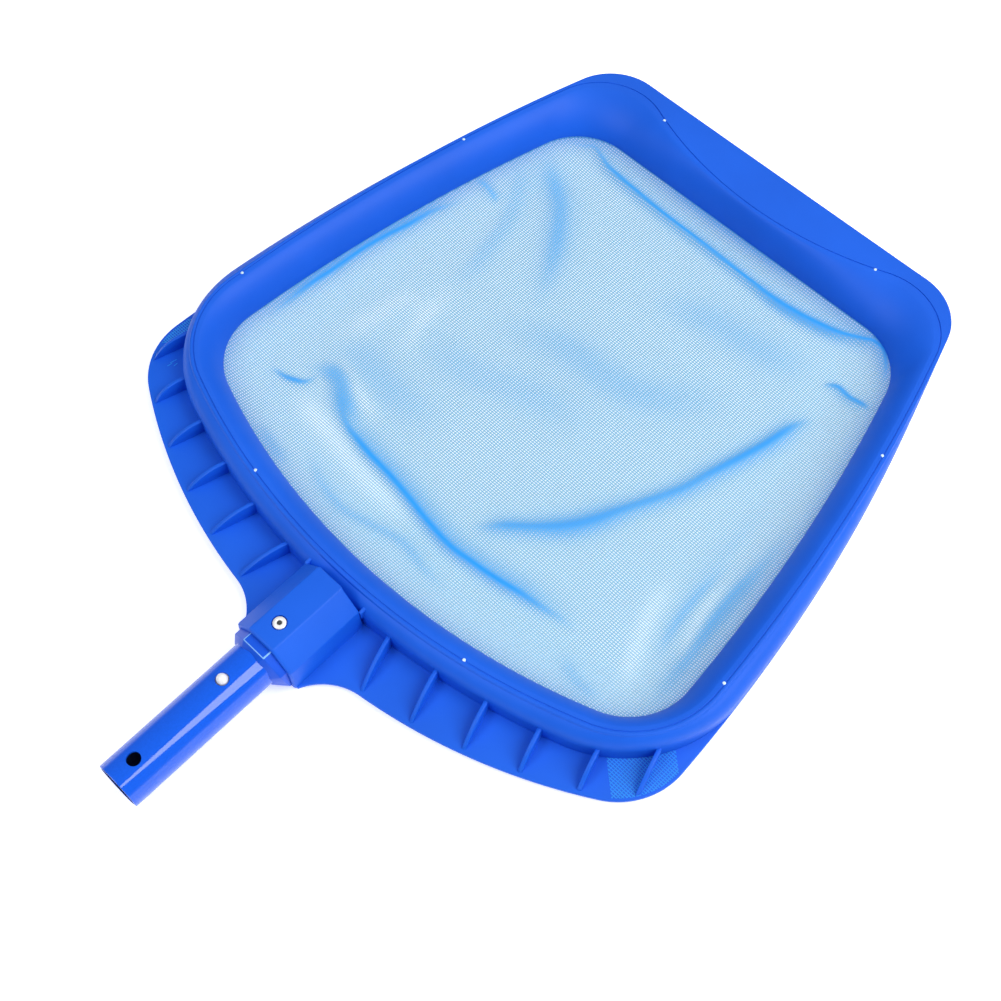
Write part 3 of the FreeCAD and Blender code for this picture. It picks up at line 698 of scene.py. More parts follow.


# the faces that get the painted highlight: a strip along the front edge of the top facet, and a ridge line
def onPaintedHighlight(centre):
    onEdge = collar["highlightZ"][0] < centre.z < collar["highlightZ"][1] and abs(centre.x) < collar["highlightHalf"]
    onRidge = centre.z > collar["ridgeZ"] and collar["ridgeX"][0] < centre.x < collar["ridgeX"][1]
    return centre.y < collar["highlightEnd"] and (onEdge or onRidge)


socketCollar = finishPiece("socketCollar", makeCollar(collar), finish["collarBlue"],
                           "socket_adapter")
# painted highlight: the front edge and ridge faces get the lighter blue
paintFaces(socketCollar, finish["collarPaintedHighlight"], onPaintedHighlight)
print("collar made")


# handle tube with its lock hole, button holes and rivet hole
tube = {"outerR": 14.25, "innerR": 12.75, "start": -14.4, "end": 125.5, "rim": 0.35, "steps": 192,
        "frontRun": 10.0, "rearRun": 4.5, "innerRings": (5, 120, 24), "outerRings": (120, 0, 25),
        "lockR": 4.0, "buttonR": 3.75, "buttonY": 60.0, "rivetR": 2.45, "cutReach": 30.0, "boreSkin": 0.05}


def makeTube(s):
    outer, inner, start, end = s["outerR"], s["innerR"], s["start"], s["end"]
    front, rear = start + s["frontRun"], end - s["rearRun"]
    loop = roundedProfile([(outer, front), (outer, start), (inner, start), (inner, front)], s["rim"], 4)
    loop += [(inner, y) for y in np.linspace(*s["innerRings"])]
    loop += roundedProfile([(inner, rear), (inner, end), (outer, end), (outer, rear)], s["rim"], 3)
    loop += [(outer, y) for y in np.linspace(*s["outerRings"])]
    a = 2 * math.pi * np.arange(s["steps"]) / s["steps"]
    return skin([np.column_stack([radius * np.cos(a), np.full(s["steps"], y), radius * np.sin(a)])
                 for radius, y in loop])


def tubeHoles(s):
    # the lock hole and the button holes go right through, the rivet's only through the upper wall
    top = s["cutReach"]
    holes = [(s["lockR"], 0, -top, 64), (s["buttonR"], s["buttonY"], -top, 64),
             (s["rivetR"], lowerFrame["rivetY"], 0, 48)]
    return [lathe([(0, low), (radius, low), (radius, top), (0, top)], (0, y, 0), steps)
            for radius, y, low, steps in holes]


def polishTube(piece, s):
    # true cylinder normals, so that the cuts leave no marks in the reflections
    mesh = piece.data
    radial = [math.hypot(v.co.x, v.co.z) * 1000 for v in mesh.vertices]
    normals = [corner.vector.copy() for corner in mesh.corner_normals]
    for face in mesh.polygons:
        for radius, sign in ((s["outerR"], 1), (s["innerR"], -1)):
            if all(abs(radial[i] - radius) < 0.02 for i in face.vertices):
                for loopIndex in face.loop_indices:
                    spot = mesh.vertices[mesh.loops[loopIndex].vertex_index].co
                    normals[loopIndex] = Vector((spot.x, 0, spot.z)).normalized() * sign
    mesh.normals_split_custom_set(normals)


handleTube = finishPiece("handleTube", makeTube(tube), finish["tubePaint"], "handle_tube")
cutAway(handleTube, tubeHoles(tube))
polishTube(handleTube, tube)
boreR = tube["innerR"] + tube["boreSkin"]
# the inside faces of the tube get the near-black painted shade
paintFaces(handleTube, finish["tubeBorePaintedShade"], lambda centre: math.hypot(centre.x, centre.z) < boreR)
print("tube made")


# rivet, snap buttons and screws
rivet = {"headR": 3.8, "seat": 18.8, "height": 1.1, "brim": (0.1, 0.45), "crown": 1.3, "dimple": (0.5, 0.35),
         "shankR": 2.4, "tailR": 3.2, "tailTop": 12.29, "tailLength": 4.0, "bore": 1.36, "round": 0.3}
button = {"radius": 3.175, "seat": 11.83, "top": 17.55, "stemR": 2.0, "stemEnd": 10.43, "edge": 0.1,
          "steps": 12}
screw = {"headWidth": 5.0, "headHeight": 1.6, "shankR": 1.2, "tipZ": 10.75, "pitch": 1.1, "threadDepth": 0.22,
         "threadEnd": 1.6, "faceR": (1.4, 2.3), "flankRows": ((0.97, 0.35), (1.0, 0.55)),
         "brim": (0.05, 0.96), "threadRows": (0.15, 0.55, 0.80, 0.92),
         "pointRows": ((0.95, 0.7), (0.72, 0.18), (0.35, 0.0)), "seamInset": 0.7, "rearX": 82.7,
         "frontX": 84.8, "sideShares": (0.243, 0.761), "steps": 36}


def makeRivet(s):
    foot, top, headR, bore = s["tailTop"] - s["tailLength"], s["seat"] + s["height"], s["headR"], s["bore"]
    corners = [(bore, foot), (s["tailR"], foot), (s["tailR"], s["tailTop"]), (s["shankR"], s["tailTop"]),
               (s["shankR"], s["seat"]), (headR, s["seat"]), (headR - s["brim"][0], s["seat"] + s["brim"][1]),
               (headR - s["crown"], top), (bore + s["dimple"][0], top), (bore, top - s["dimple"][1]),
               (bore, foot)]
    return lathe(roundedProfile(corners, s["round"], 4), (0, lowerFrame["rivetY"], 0), 64)


def makeButton(s, flip):
    radius, edge, domeBase = s["radius"], s["edge"], s["top"] - s["radius"]
    profile = [(0, s["stemEnd"]), (s["stemR"], s["stemEnd"]), (s["stemR"], s["seat"]),
               (radius - edge, s["seat"]), (radius, s["seat"] + edge)]
    for k in range(s["steps"]):
        a = math.radians(90 * k / s["steps"])
        profile.append((radius * math.cos(a), domeBase + radius * math.sin(a)))
    verts, faces = lathe(profile + [(0, s["top"])], (0, tube["buttonY"], 0), 48)
    return [(x, y, z * flip) for x, y, z in verts], faces


def screwPlaces(s):
    line = movedIn(seamLine, s["seamInset"])
    places = [(s["rearX"], line["rear"] + arcDrop(line["rearR"], s["rearX"])),
              (s["frontX"], line["front"] + arcDrop(1 / line["bow"], s["frontX"]))]
    for share in s["sideShares"]:
        y = mouthLine["rear"] + (mouthLine["front"] - mouthLine["rear"]) * share
        places.append((line["half"] - arcDrop(line["sideR"], y - line["wide"]), y))
    return places + [(-x, y) for x, y in places]


def makeScrew(s, place):
    under, low, shankR = heights["flangeUnder"], heights["flangeUnder"] - s["headHeight"], s["shankR"]
    hexR, root = s["headWidth"] / math.sqrt(3), s["shankR"] - s["threadDepth"]
    angle = 2 * math.pi * np.arange(s["steps"]) / s["steps"]
    flats = s["headWidth"] / 2 / np.cos(angle % (math.pi / 3) - math.pi / 6)

    def ring(radius, z, hexagon=False):
        reach = np.minimum(flats, radius) if hexagon else np.full(s["steps"], radius)
        return np.column_stack([place[0] + reach * np.cos(angle), place[1] + reach * np.sin(angle),
                                np.full(s["steps"], z)])

    rows = [ring(radius, low) for radius in s["faceR"]]
    rows += [ring(hexR * share, low + rise, True) for share, rise in s["flankRows"]]
    rows += [ring(hexR, under - s["brim"][0], True), ring(hexR * s["brim"][1], under, True),
             ring(shankR, under)]
    z = under
    while z < s["tipZ"] - s["threadEnd"]:  # threads as close rings
        reaches = (root, root, shankR, shankR)
        rows += [ring(radius, z + rise) for radius, rise in zip(reaches, s["threadRows"])]
        z += s["pitch"]
    rows += [ring(shankR * share, s["tipZ"] - drop) for share, drop in s["pointRows"]]
    return skin(rows, closed=False, capEnds=True)


finishPiece("blindRivet", makeRivet(rivet), finish["rivetMetal"], "handle_rivet")
for name, body, flip, node in (("buttonUpper", "upper_clip", 1, "clip_button_upper"),
                               ("buttonLower", "lower_clip", -1, "clip_button_lower")):
    finishPiece(name, makeButton(button, flip), finish["buttonWhite"], node, body)
screwParts = [makeScrew(screw, place) for place in screwPlaces(screw)]
finishPiece("ringScrews", joinParts(screwParts), finish["zincPlate"], "frame_screws")

for nodeName, finishName in (("clip_bend", "clipSteel"), ("clip_leg_upper", "clipSteel"),
                             ("clip_leg_lower", "clipSteel"), ("rivet_mandrel", "mandrelSteel")):
    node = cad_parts[nodeName]
    if not node.material_slots:
        node.data.materials.append(None)
    for materialSlot in node.material_slots:
        materialSlot.material = finish[finishName]
print("rivet, buttons, screws and clip made")


# net: one sheet of mesh cloth, hemmed under the ring and slack inside the mouth
net = {"pitchX": 0.00187, "pitchY": 0.00143, "threadX": 0.385, "threadY": 0.605, "soft": 0.35, "veil": 0.37,
       "solid": 0.86, "drift": 0.0012, "driftScale": 28.0, "rough": 0.45, "glow": 0.45, "bump": 0.4,
       "bumpReach": 0.0003, "colours": ((0.125, 0.385, 0.56), (0.012, 0.36, 0.88)),
       "tabColour": (0.045, 0.46, 1.0, 1), "sag": 7.75, "sagPower": 0.9, "run": 34.0, "cells": 252,
       "under": 0.25, "lift": 0.12, "swell": 0.45, "calm": 25.0, "pinned": 7.0, "haloPower": 1.6,
       "waves": ((0.6, 0.045, 0.021, 0.0), (0.4, -0.03, 0.06, 1.0)), "edgeGather": 0.22, "edgeFade": 4.0,
       "hemShare": 0.58, "hemGather": 0.2, "tabGather": 0.1, "tabAngle": 41.5, "tabInset": 1.5,
       "tabGrid": (17, 8), "rightTab": (-17.5, 19.5), "leftTab": (8.0, 26.0), "threadHalf": 0.22,
       "looseThreads": [((-185.0, 173.3), (-184.5, 176.4)), ((-185.5, 175.9), (-184.6, 180.1)),
                        ((-182.2, 176.0), (-182.2, 178.7))]}
# each fold: its height, core width, soft width on the ring side and on the net side, how closely the
# threads gather in the core and beside it, how soon it fades in and out, and its route in millimetres
foldKeys = ("rise", "core", "outer", "inner", "gather", "halo", "fade", "route")
foldRows = [
    (1.2, 1.3, 2.6, 6.5, 0.95, 0.42, (0.3, 0.3),
     [(-170.9, 236.4), (-169.4, 248.5), (-168.5, 272.9), (-166.0, 294.8), (-164.2, 316.1),
      (-161.1, 333.6), (-157.0, 350.3), (-154.5, 365.8), (-150.0, 379.4), (-145.8, 393.5)]),
    (0.6, 1.2, 3.0, 4.0, 0.4, 0.25, (0.3, 0.3), [(-152.6, 404.5), (-142.6, 406.6), (-130.0, 403.8)]),
    (1.2, 2.0, 5.0, 7.0, 0.12, 0.16, (0.2, 0.4),
     [(-143.6, 440.9), (-130.8, 423.2), (-118.5, 400.1), (-111.6, 372.6), (-107.6, 352.7),
      (-113.4, 329.0)]),
    (1.6, 4.0, 9.0, 9.0, 0.34, 0.25, (0.25, 0.5),
     [(-139.3, 457.5), (-124.6, 446.4), (-110.0, 437.5), (-98.7, 428.1), (-83.7, 409.3), (-66.0, 380.0),
      (-56.0, 355.0)]),
    (1.2, 1.4, 3.0, 3.0, 0.8, 0.2, (0.55, 0.45),
     [(-147.0, 219.2), (-140.1, 219.3), (-131.4, 220.6), (-122.8, 224.6), (-120.2, 229.2),
      (-119.7, 235.8)]),
    (1.6, 5.2, 6.5, 6.5, 0.42, 0.24, (0.3, 0.35),
     [(-119.8, 230.4), (-119.8, 235.9), (-117.0, 239.9), (-111.6, 242.0), (-104.4, 240.0),
      (-96.4, 233.9), (-86.2, 227.9), (-76.6, 223.0)]),
    (2.2, 1.7, 4.5, 8.0, 1.0, 0.42, (0.25, 0.25),
     [(-106.4, 239.5), (-97.9, 233.9), (-87.2, 225.4), (-77.6, 221.5), (-68.1, 219.7), (-56.2, 217.8),
      (-37.6, 216.2), (-18.4, 213.4), (0.6, 210.2), (20.1, 208.2), (37.3, 209.6), (53.6, 211.6),
      (69.7, 214.7), (83.8, 216.8), (96.7, 219.2), (112.0, 219.0)]),
    (2.0, 2.2, 6.0, 6.0, 0.62, 0.38, (0.12, 0.14),
     [(19.0, 222.6), (26.0, 231.0), (33.3, 238.9), (47.1, 250.9), (60.1, 264.8), (68.2, 277.9),
      (75.4, 294.2), (83.7, 311.4), (91.5, 329.5), (96.3, 346.9), (102.6, 367.2), (107.9, 386.8),
      (111.0, 404.3), (115.4, 415.9), (117.4, 423.0)]),
    (0.0, 5.0, 9.0, 9.0, 0.24, 0.16, (0.4, 0.45),
     [(40.0, 243.0), (60.1, 264.8), (70.2, 282.9), (80.0, 304.2)]),
    (0.4, 1.5, 4.0, 4.0, 0.6, 0.15, (0.5, 0.3),
     [(91.5, 329.5), (96.3, 346.9), (102.6, 367.2), (107.9, 386.8), (111.0, 404.3), (115.4, 417.9)]),
    (2.0, 1.0, 4.0, 4.0, 0.95, 0.35, (0.2, 0.12),
     [(-136.0, 465.7), (-122.0, 473.7), (-114.8, 478.4), (-105.7, 476.2), (-95.0, 473.5), (-67.0, 471.4),
      (-42.6, 470.3), (-17.6, 470.0), (7.7, 469.4), (29.2, 468.7), (46.2, 468.4), (63.1, 469.7),
      (76.0, 471.7), (89.9, 474.8), (104.3, 480.6), (110.5, 483.7), (119.6, 481.6), (129.5, 469.8),
      (134.5, 458.0)]),
    (0.4, 2.6, 4.0, 5.0, 0.55, 0.2, (0.45, 0.3),
     [(20.0, 468.4), (46.2, 467.4), (63.1, 468.7), (76.0, 470.7), (89.9, 474.0), (102.3, 479.1)]),
    (0.0, 2.0, 3.0, 3.0, 0.25, 0.1, (0.3, 0.3),
     [(-70.0, 486.0), (-41.9, 486.0), (-18.4, 486.0), (8.0, 486.0), (26.5, 486.0), (60.2, 485.6)]),
    (1.2, 1.3, 4.0, 3.0, 0.85, 0.25, (0.3, 0.25),
     [(104.6, 440.1), (109.5, 444.4), (114.5, 446.0), (122.6, 444.3), (134.5, 444.0), (139.0, 440.9)]),
    (0.9, 2.0, 4.0, 5.0, 0.16, 0.14, (0.4, 0.3),
     [(108.4, 206.0), (118.8, 200.4), (129.3, 196.8), (146.2, 197.3)]),
    (0.9, 2.5, 4.0, 7.0, 0.06, 0.06, (0.3, 0.4),
     [(153.3, 223.4), (144.6, 252.6), (138.6, 283.6), (135.8, 322.6), (133.7, 372.7)]),
    (-0.5, 3.0, 5.0, 6.0, 0.3, 0.2, (0.3, 0.4),
     [(168.0, 205.0), (162.0, 260.0), (158.0, 310.0), (153.0, 360.0)]),
    (0.9, 2.5, 5.0, 6.0, 0.22, 0.1, (0.3, 0.3),
     [(-89.4, 197.9), (-66.0, 186.0), (-43.2, 181.4), (-25.0, 185.4), (-1.4, 191.1), (18.6, 187.8),
      (45.0, 186.0)]),
    (0.8, 8.0, 14.0, 12.0, 0.12, 0.1, (0.3, 0.5),
     [(-135.0, 268.0), (-108.0, 262.0), (-70.0, 258.0), (-30.0, 262.0)]),
    (0.8, 9.0, 14.0, 14.0, 0.14, 0.1, (0.4, 0.4),
     [(-80.0, 330.0), (-30.0, 352.0), (30.0, 360.0), (84.0, 404.0)]),
    (0.7, 8.0, 12.0, 14.0, 0.13, 0.1, (0.4, 0.3),
     [(-20.0, 410.0), (20.0, 428.0), (70.0, 436.0), (104.0, 446.0)]),
    (-0.5, 9.0, 12.0, 12.0, 0.1, 0.08, (0.4, 0.4),
     [(-110.0, 300.0), (-60.0, 300.0), (-10.0, 316.0), (40.0, 322.0)]),
    # ridges where the cloth is stretched thin
    (0.8, 5.0, 5.0, 5.0, -0.18, 0.0, (0.3, 0.4),
     [(-124.0, 248.7), (-112.8, 248.9), (-95.8, 243.6), (-81.4, 239.7), (-64.1, 236.9)]),
    (0.8, 8.0, 6.0, 6.0, -0.19, 0.0, (0.2, 0.3),
     [(-125.4, 215.5), (-117.5, 216.3), (-96.7, 213.7), (-76.7, 211.2), (-57.4, 207.9), (-43.0, 205.8),
      (-23.7, 204.8), (4.7, 204.2)]),
    (0.6, 7.0, 4.0, 4.0, -0.09, 0.0, (0.3, 0.4),
     [(-124.4, 255.4), (-126.7, 268.5), (-125.4, 290.3), (-120.0, 311.1), (-110.7, 310.7),
      (-95.9, 301.2)]),
    (0.8, 6.0, 4.0, 4.0, -0.16, 0.0, (0.3, 0.4),
     [(153.9, 206.0), (144.4, 222.0), (135.4, 242.4), (128.6, 262.2), (123.5, 292.5)]),
    (0.6, 2.6, 4.0, 4.0, -0.16, 0.0, (0.3, 0.4),
     [(161.8, 240.5), (154.6, 260.9), (149.9, 284.7), (149.1, 306.2)]),
    (0.6, 6.0, 4.0, 4.0, -0.1, 0.0, (0.4, 0.4),
     [(-111.4, 344.8), (-104.7, 324.8), (-100.0, 298.2), (-88.3, 274.0)]),
    # and shallow folds between them
    (-0.4, 3.0, 4.0, 4.0, 0.22, 0.0, (0.4, 0.4),
     [(152.4, 234.1), (145.5, 256.2), (141.9, 283.1), (142.2, 315.4)]),
    (-0.4, 2.4, 4.0, 4.0, 0.26, 0.0, (0.4, 0.4),
     [(162.6, 251.5), (157.8, 275.8), (155.3, 298.7), (154.6, 324.8)]),
    (0.4, 4.0, 4.0, 4.0, 0.2, 0.0, (0.4, 0.4), [(-121.0, 186.0), (-99.5, 181.0), (-79.9, 177.7)]),
]
folds = [dict(zip(foldKeys, row)) for row in foldRows]


def nearRoute(points, route):
    # distance to a route, the side it is on, and how far along the route it falls, from 0 to 1
    lengths = np.linalg.norm(route[1:] - route[:-1], axis=1)
    total = lengths.sum()
    best = np.full(len(points), 1e9)
    side, place = np.zeros(len(points)), np.zeros(len(points))
    passed = 0.0
    for a, b, length in zip(route, route[1:], lengths):
        d = (b - a) / length
        rel = points - a
        t = np.clip(rel @ d, 0, length)
        distance = np.linalg.norm(rel - t[:, None] * d, axis=1)
        cross = d[0] * rel[:, 1] - d[1] * rel[:, 0]
        nearer = distance < best
        best = np.where(nearer, distance, best)
        side = np.where(nearer, np.sign(cross), side)
        place = np.where(nearer, (passed + t) / total, place)
        passed += length
    return best, side, place


def smoothRoute(route, steps=6):
    # a curve through the route's points
    pts = [np.array(p, float) for p in route]
    pts = [2 * pts[0] - pts[1]] + pts + [2 * pts[-1] - pts[-2]]
    out = []
    for p0, p1, p2, p3 in zip(pts, pts[1:], pts[2:], pts[3:]):
        for k in range(steps):
            t = k / steps
            out.append(0.5 * (2 * p1 + (p2 - p0) * t + (2 * p0 - 5 * p1 + 4 * p2 - p3) * t * t
                              + (3 * p1 - p0 - 3 * p2 + p3) * t ** 3))
    out.append(pts[-2])
    return np.array(out)


def easeIn(x):
    x = np.clip(x, 0, 1)
    return x * x * (3 - 2 * x)


def netHeights(points, edgeDistance, s):
    # the slack sheet: how far it hangs below the flange, its folds, and how gathered the cloth is
    reach = np.clip(edgeDistance / s["run"], 0, 1)
    z = heights["flange"] - s["under"] - s["sag"] * np.sin(reach * math.pi / 2) ** s["sagPower"]
    gather = s["edgeGather"] * np.exp(-edgeDistance / s["edgeFade"])
    free = easeIn(edgeDistance / s["pinned"])
    for fold in folds:
        distance, side, place = nearRoute(points, smoothRoute(fold["route"]))
        taper = easeIn(place / fold["fade"][0]) * easeIn((1 - place) / fold["fade"][1])
        width = np.where(side > 0, fold["inner"], fold["outer"])
        core = np.exp(-(distance / fold["core"]) ** 2)
        halo = np.exp(-(distance / width) ** s["haloPower"])
        z = z + fold["rise"] * taper * free * np.exp(-(distance / (fold["core"] + width * 0.5)) ** 2)
        tone = taper * (fold["gather"] * core + fold["halo"] * halo * (1 - core))
        gather = 1 - (1 - gather) * (1 - np.clip(tone, -0.5, 1))
    x, y = points[:, 0], points[:, 1]
    waves = sum(height * np.sin(x * byX + y * byY + phase) for height, byX, byY, phase in s["waves"])
    return z + easeIn(edgeDistance / s["calm"]) * s["swell"] * waves, gather


def loopPoint(loop, index):
    # a point of a closed outline at a fractional index
    low = np.floor(index).astype(int)
    share = (index - low)[:, None]
    return loop[low % len(loop)] * (1 - share) + loop[(low + 1) % len(loop)] * share


def evenIndices(loop, first, last, steps):
    # fractional indices that divide a stretch of an outline into equal lengths
    fine = np.linspace(first, last, 1200)
    pts = loopPoint(loop, fine)
    run = np.concatenate([[0], np.cumsum(np.linalg.norm(pts[1:] - pts[:-1], axis=1))])
    return np.interp(np.linspace(0, run[-1], steps + 1), run, fine)


def gridFaces(down, across):
    # quads of a grid of points that are listed row by row
    w = across + 1
    return [(j * w + i, j * w + i + 1, (j + 1) * w + i + 1, (j + 1) * w + i)
            for j in range(down) for i in range(across)]


def makeTab(s, reach, mirror):
    # a tongue of the cloth that lies on the flange at a rear corner
    angle = math.radians(s["tabAngle"])
    run, across = np.array((math.cos(angle), -math.sin(angle))), np.array((math.sin(angle), math.cos(angle)))
    corner = arcCentres(mouthLine)[2] + run * mouthLine["cornerR"]
    outer, inner = (tracePoints(movedIn(line, s["tabInset"])) for line in (flangeLine, footLine))
    lanes, cells = s["tabGrid"]
    rows = []
    for lane in np.linspace(reach[0], reach[1], lanes + 1):
        start, end = (max(crossings(flat, corner + across * lane, run), key=lambda hit: hit @ run)
                      for flat in (inner, outer))
        rows.append([start + (end - start) * k / cells for k in range(cells + 1)])
    verts = [(p[0] * mirror, p[1], heights["flange"] + s["lift"]) for row in rows for p in row]
    return verts, gridFaces(lanes, cells)


def makeThread(s, start, end):
    # a loose thread on the flange
    a, b = np.array(start), np.array(end)
    side = np.array((a[1] - b[1], b[0] - a[0])) / np.linalg.norm(b - a) * s["threadHalf"]
    verts = [(p[0], p[1], heights["flange"] + s["lift"]) for p in (a + side, a - side, b - side, b + side)]
    return verts, [(0, 1, 2, 3)]


def makeSheet(s):
    # a grid that fills the mouth, and a hem under the ring
    mouth = tracePoints(mouthLine)
    hemLine = tracePoints(between(mouthLine, seamLine, s["hemShare"]))
    count, n = len(mouth), s["cells"]
    rearCorner = arcSteps["rear"] + arcSteps["corner"] / 2
    tip = arcSteps["rear"] + arcSteps["corner"] + arcSteps["side"] + arcSteps["tip"] / 2
    rear = evenIndices(mouth, -rearCorner, rearCorner, n)
    right = evenIndices(mouth, rearCorner, tip, n)
    front = evenIndices(mouth, count - tip, tip, n)
    left = evenIndices(mouth, count - rearCorner, count - tip, n)
    u, v = np.linspace(0, 1, n + 1)[None, :, None], np.linspace(0, 1, n + 1)[:, None, None]
    rearP, frontP = loopPoint(mouth, rear)[None], loopPoint(mouth, front)[None]
    leftP, rightP = loopPoint(mouth, left)[:, None], loopPoint(mouth, right)[:, None]
    flat = ((1 - v) * rearP + v * frontP + (1 - u) * leftP + u * rightP
            - (1 - u) * (1 - v) * rearP[:, :1] - u * (1 - v) * rearP[:, -1:]
            - (1 - u) * v * frontP[:, :1] - u * v * frontP[:, -1:])
    points = flat.reshape(-1, 2)
    distance = np.full(len(points), 1e9)
    for a, b in zip(mouth, np.roll(mouth, -1, axis=0)):
        d = b - a
        t = np.clip(((points - a) @ d) / (d @ d), 0, 1)
        distance = np.minimum(distance, np.linalg.norm(points - a - t[:, None] * d, axis=1))
    z, gather = netHeights(points, distance, s)
    w = n + 1
    faces = gridFaces(n, n)
    rim = ([(k, rear[k]) for k in range(n)] + [(k * w + n, right[k]) for k in range(n)]
           + [(n * w + k, front[k]) for k in range(n, 0, -1)] + [(k * w, left[k]) for k in range(n, 0, -1)])
    hem = loopPoint(hemLine, np.array([place for _, place in rim]))
    base = len(points)
    for k in range(len(rim)):
        m = (k + 1) % len(rim)
        faces.append((rim[k][0], rim[m][0], base + m, base + k))
    verts = list(np.column_stack([points, z])) + [(p[0], p[1], heights["flange"] - s["under"]) for p in hem]
    return verts, faces, list(gather) + [s["hemGather"]] * len(rim)


def meshCloth(name, s):
    # woven mesh: two families of round threads with open cells, closer and bluer where the cloth is gathered
    material, tree = newMaterial(name)
    output = addNode(tree, "OutputMaterial")
    thread = addNode(tree, "BsdfPrincipled", Roughness=s["rough"])
    clear = addNode(tree, "BsdfTransparent")
    glow = addNode(tree, "BsdfTranslucent")
    body = addNode(tree, "MixShader", Fac=s["glow"])
    cover = addNode(tree, "MixShader")
    coords = addNode(tree, "TexCoord")
    noise = addNode(tree, "TexNoise", Scale=s["driftScale"], Detail=2.0, Roughness=0.5)
    centred = addNode(tree, "VectorMath", operation="SUBTRACT", second=(0.5, 0.5, 0.5))
    drift = addNode(tree, "VectorMath", operation="SCALE", Scale=s["drift"])
    moved = addNode(tree, "VectorMath", operation="ADD")
    split = addNode(tree, "SeparateXYZ")
    gather = addNode(tree, "Attribute", attribute_name="gather")
    onFlange = addNode(tree, "Attribute", attribute_name="tab")
    either = addNode(tree, "Math", operation="MAXIMUM")
    for index, axis in enumerate("XY"):
        width = addNode(tree, "MapRange", clamp=False, To_Min=s["thread" + axis], To_Max=1.0 + s["soft"])
        source, socket = split, axis
        for operation, value in (("DIVIDE", s["pitch" + axis]), ("FRACT", 0.0), ("SUBTRACT", 0.5),
                                 ("ABSOLUTE", 0.0), ("MULTIPLY", 2.0)):
            step = addNode(tree, "Math", operation=operation, second=value)
            wire(tree, (source, socket, step, 0))
            source, socket = step, 0
        inside = addNode(tree, "Math", operation="SUBTRACT")
        soft = addNode(tree, "Math", operation="DIVIDE", use_clamp=True, second=s["soft"])
        wire(tree, (gather, "Fac", width, "Value"), (width, "Result", inside, 0), (source, 0, inside, 1),
             (inside, 0, soft, 0), (soft, 0, either, index))
    ramp = addRamp(tree, s["colours"])
    tint = addNode(tree, "Mix", data_type="RGBA", B=s["tabColour"])
    bump = addNode(tree, "Bump", Strength=s["bump"], Distance=s["bumpReach"])
    dense = addNode(tree, "MapRange", To_Min=s["solid"], To_Max=1.0)
    thin = addNode(tree, "MapRange", To_Min=s["veil"], To_Max=0.0)
    filled = addNode(tree, "MapRange")
    wire(tree, (coords, "Object", noise, "Vector"), (noise, "Color", centred, 0),
         (centred, "Vector", drift, 0), (coords, "Object", moved, 0), (drift, "Vector", moved, 1),
         (moved, "Vector", split, "Vector"), (gather, "Fac", ramp, "Fac"), (onFlange, "Fac", tint, "Factor"),
         (ramp, "Color", tint, "A"), (either, 0, bump, "Height"), (bump, "Normal", thread, "Normal"),
         (tint, "Result", thread, "Base Color"), (tint, "Result", glow, "Color"), (thread, "BSDF", body, 1),
         (glow, "BSDF", body, 2), (onFlange, "Fac", thin, "Value"), (thin, "Result", filled, "To Min"),
         (gather, "Fac", dense, "Value"), (either, 0, filled, "Value"), (dense, "Result", filled, "To Max"),
         (filled, "Result", cover, "Fac"), (clear, "BSDF", cover, 1), (body, "Shader", cover, 2),
         (cover, "Shader", output, "Surface"))
    return material


sheetVerts, sheetFaces, sheetGather = makeSheet(net)
tabs = [makeTab(net, net["rightTab"], 1), makeTab(net, net["leftTab"], -1)]
threads = [makeThread(net, start, end) for start, end in net["looseThreads"]]
tabCount, threadCount = (sum(len(verts) for verts, _ in parts) for parts in (tabs, threads))
netShape = joinParts([(sheetVerts, sheetFaces)] + tabs + threads)
netBag = finishPiece("netBag", netShape, meshCloth("netCloth", net), "net_bag", sharp=180)
for name, values in (("gather", sheetGather + [net["tabGather"]] * tabCount + [1.0] * threadCount),
                     ("tab", [0.0] * len(sheetVerts) + [1.0] * (tabCount + threadCount))):
    netBag.data.attributes.new(name, "FLOAT", "POINT").data.foreach_set("value", values)
print("net made")


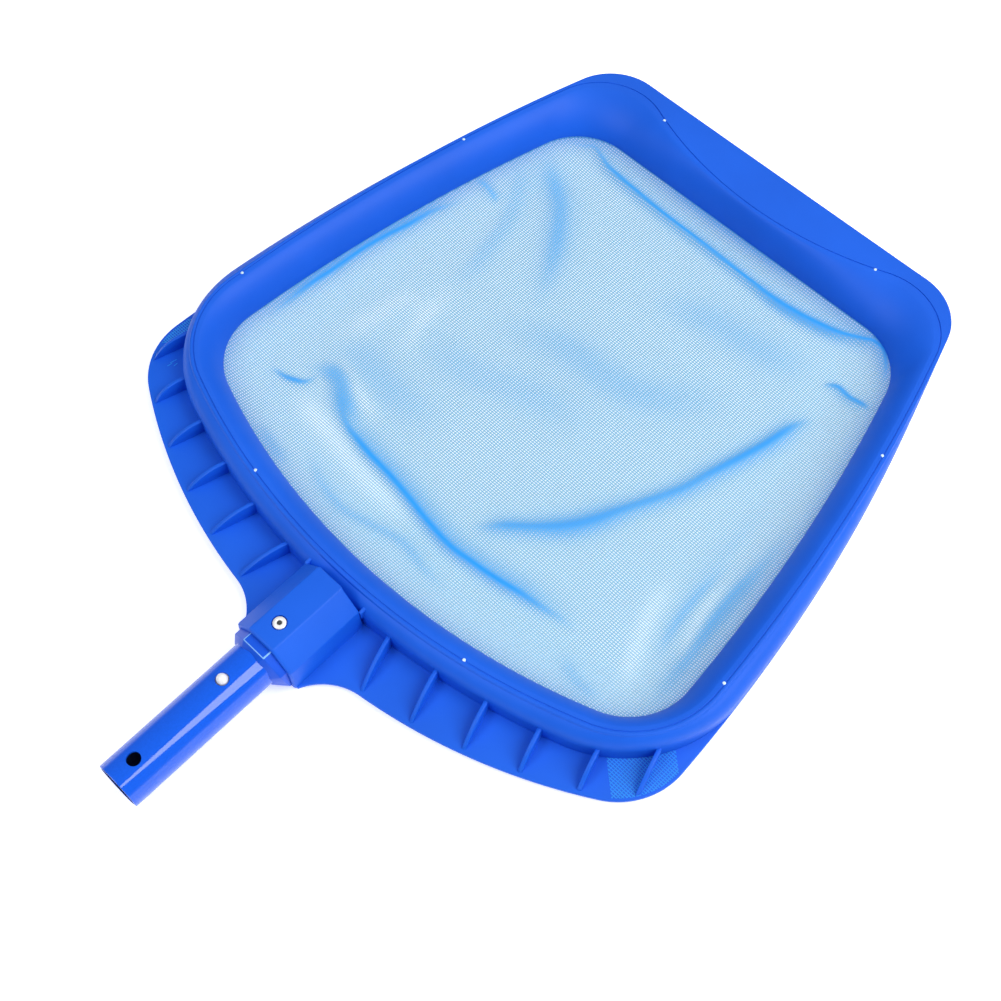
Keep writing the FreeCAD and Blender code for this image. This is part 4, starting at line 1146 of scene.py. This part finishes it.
# floor, backdrop and studio light; each softbox has a direction, a size in metres and a power
studio = {"floorZ": -19.5, "floorHalf": 30000.0, "floorGlow": 0.47, "floorRough": 0.9, "floorShine": 0.1,
          "floorTones": ((0.93,) * 3, (0.95,) * 3), "paperScale": 3.0,
          "sky": 0.18, "horizon": 0.64, "horizonBand": 0.22, "lightAim": (0, 0.05, 0), "lightDistance": 2.0,
          "softboxes": {"mainSoftbox": ((0.617, 0.333, 0.713), (1.15, 1.5), 31.0),
                        "fillSoftbox": ((-0.22, -0.47, 0.86), (1.0, 1.0), 17.5),
                        "backSoftbox": ((-0.15, 0.66, 0.74), (2.4, 1.4), 9.0)}}


def makeFloor(s):
    half, z = s["floorHalf"], s["floorZ"]
    corners = [(-half, -half, z), (half, -half, z), (half, half, z), (-half, half, z)]
    floor = newObject("floor", corners, [(0, 1, 2, 3)])
    material, tree = newMaterial("floorWhite")
    output = addNode(tree, "OutputMaterial")
    shader = addNode(tree, "BsdfPrincipled", Roughness=s["floorRough"], Specular_IOR_Level=s["floorShine"],
                     Emission_Color=(1, 1, 1, 1), Emission_Strength=s["floorGlow"])
    coords = addNode(tree, "TexCoord")
    paper = addNode(tree, "TexNoise", Scale=s["paperScale"], Detail=2.0)
    ramp = addRamp(tree, s["floorTones"])
    wire(tree, (coords, "Object", paper, "Vector"), (paper, "Fac", ramp, "Fac"),
         (ramp, "Color", shader, "Base Color"), (shader, "BSDF", output, "Surface"))
    floor.data.materials.append(material)


def makeBackdrop(s):
    # it meets the far floor without a line
    world = bpy.data.worlds.new("studio")
    world.use_nodes = True
    tree = world.node_tree
    background = tree.nodes["Background"]
    background.inputs["Color"].default_value = (1, 1, 1, 1)
    coords, parts = addNode(tree, "TexCoord"), addNode(tree, "SeparateXYZ")
    fade = addNode(tree, "MapRange", interpolation_type="SMOOTHSTEP", From_Max=s["horizonBand"],
                   To_Min=s["horizon"], To_Max=s["sky"])
    wire(tree, (coords, "Generated", parts, "Vector"), (parts, "Z", fade, "Value"),
         (fade, "Result", background, "Strength"))
    scene.world = world


def addSoftbox(name, direction, size, power):
    light = bpy.data.lights.new(name, "AREA")
    light.shape = "RECTANGLE"
    light.size, light.size_y = size
    light.energy = power
    box = bpy.data.objects.new(name, light)
    scene.collection.objects.link(box)
    direction = Vector(direction).normalized()
    box.location = Vector(studio["lightAim"]) + direction * studio["lightDistance"]
    box.rotation_euler = direction.to_track_quat("Z", "Y").to_euler()


makeFloor(studio)
makeBackdrop(studio)
for name, softbox in studio["softboxes"].items():
    addSoftbox(name, *softbox)
print("floor and light made")
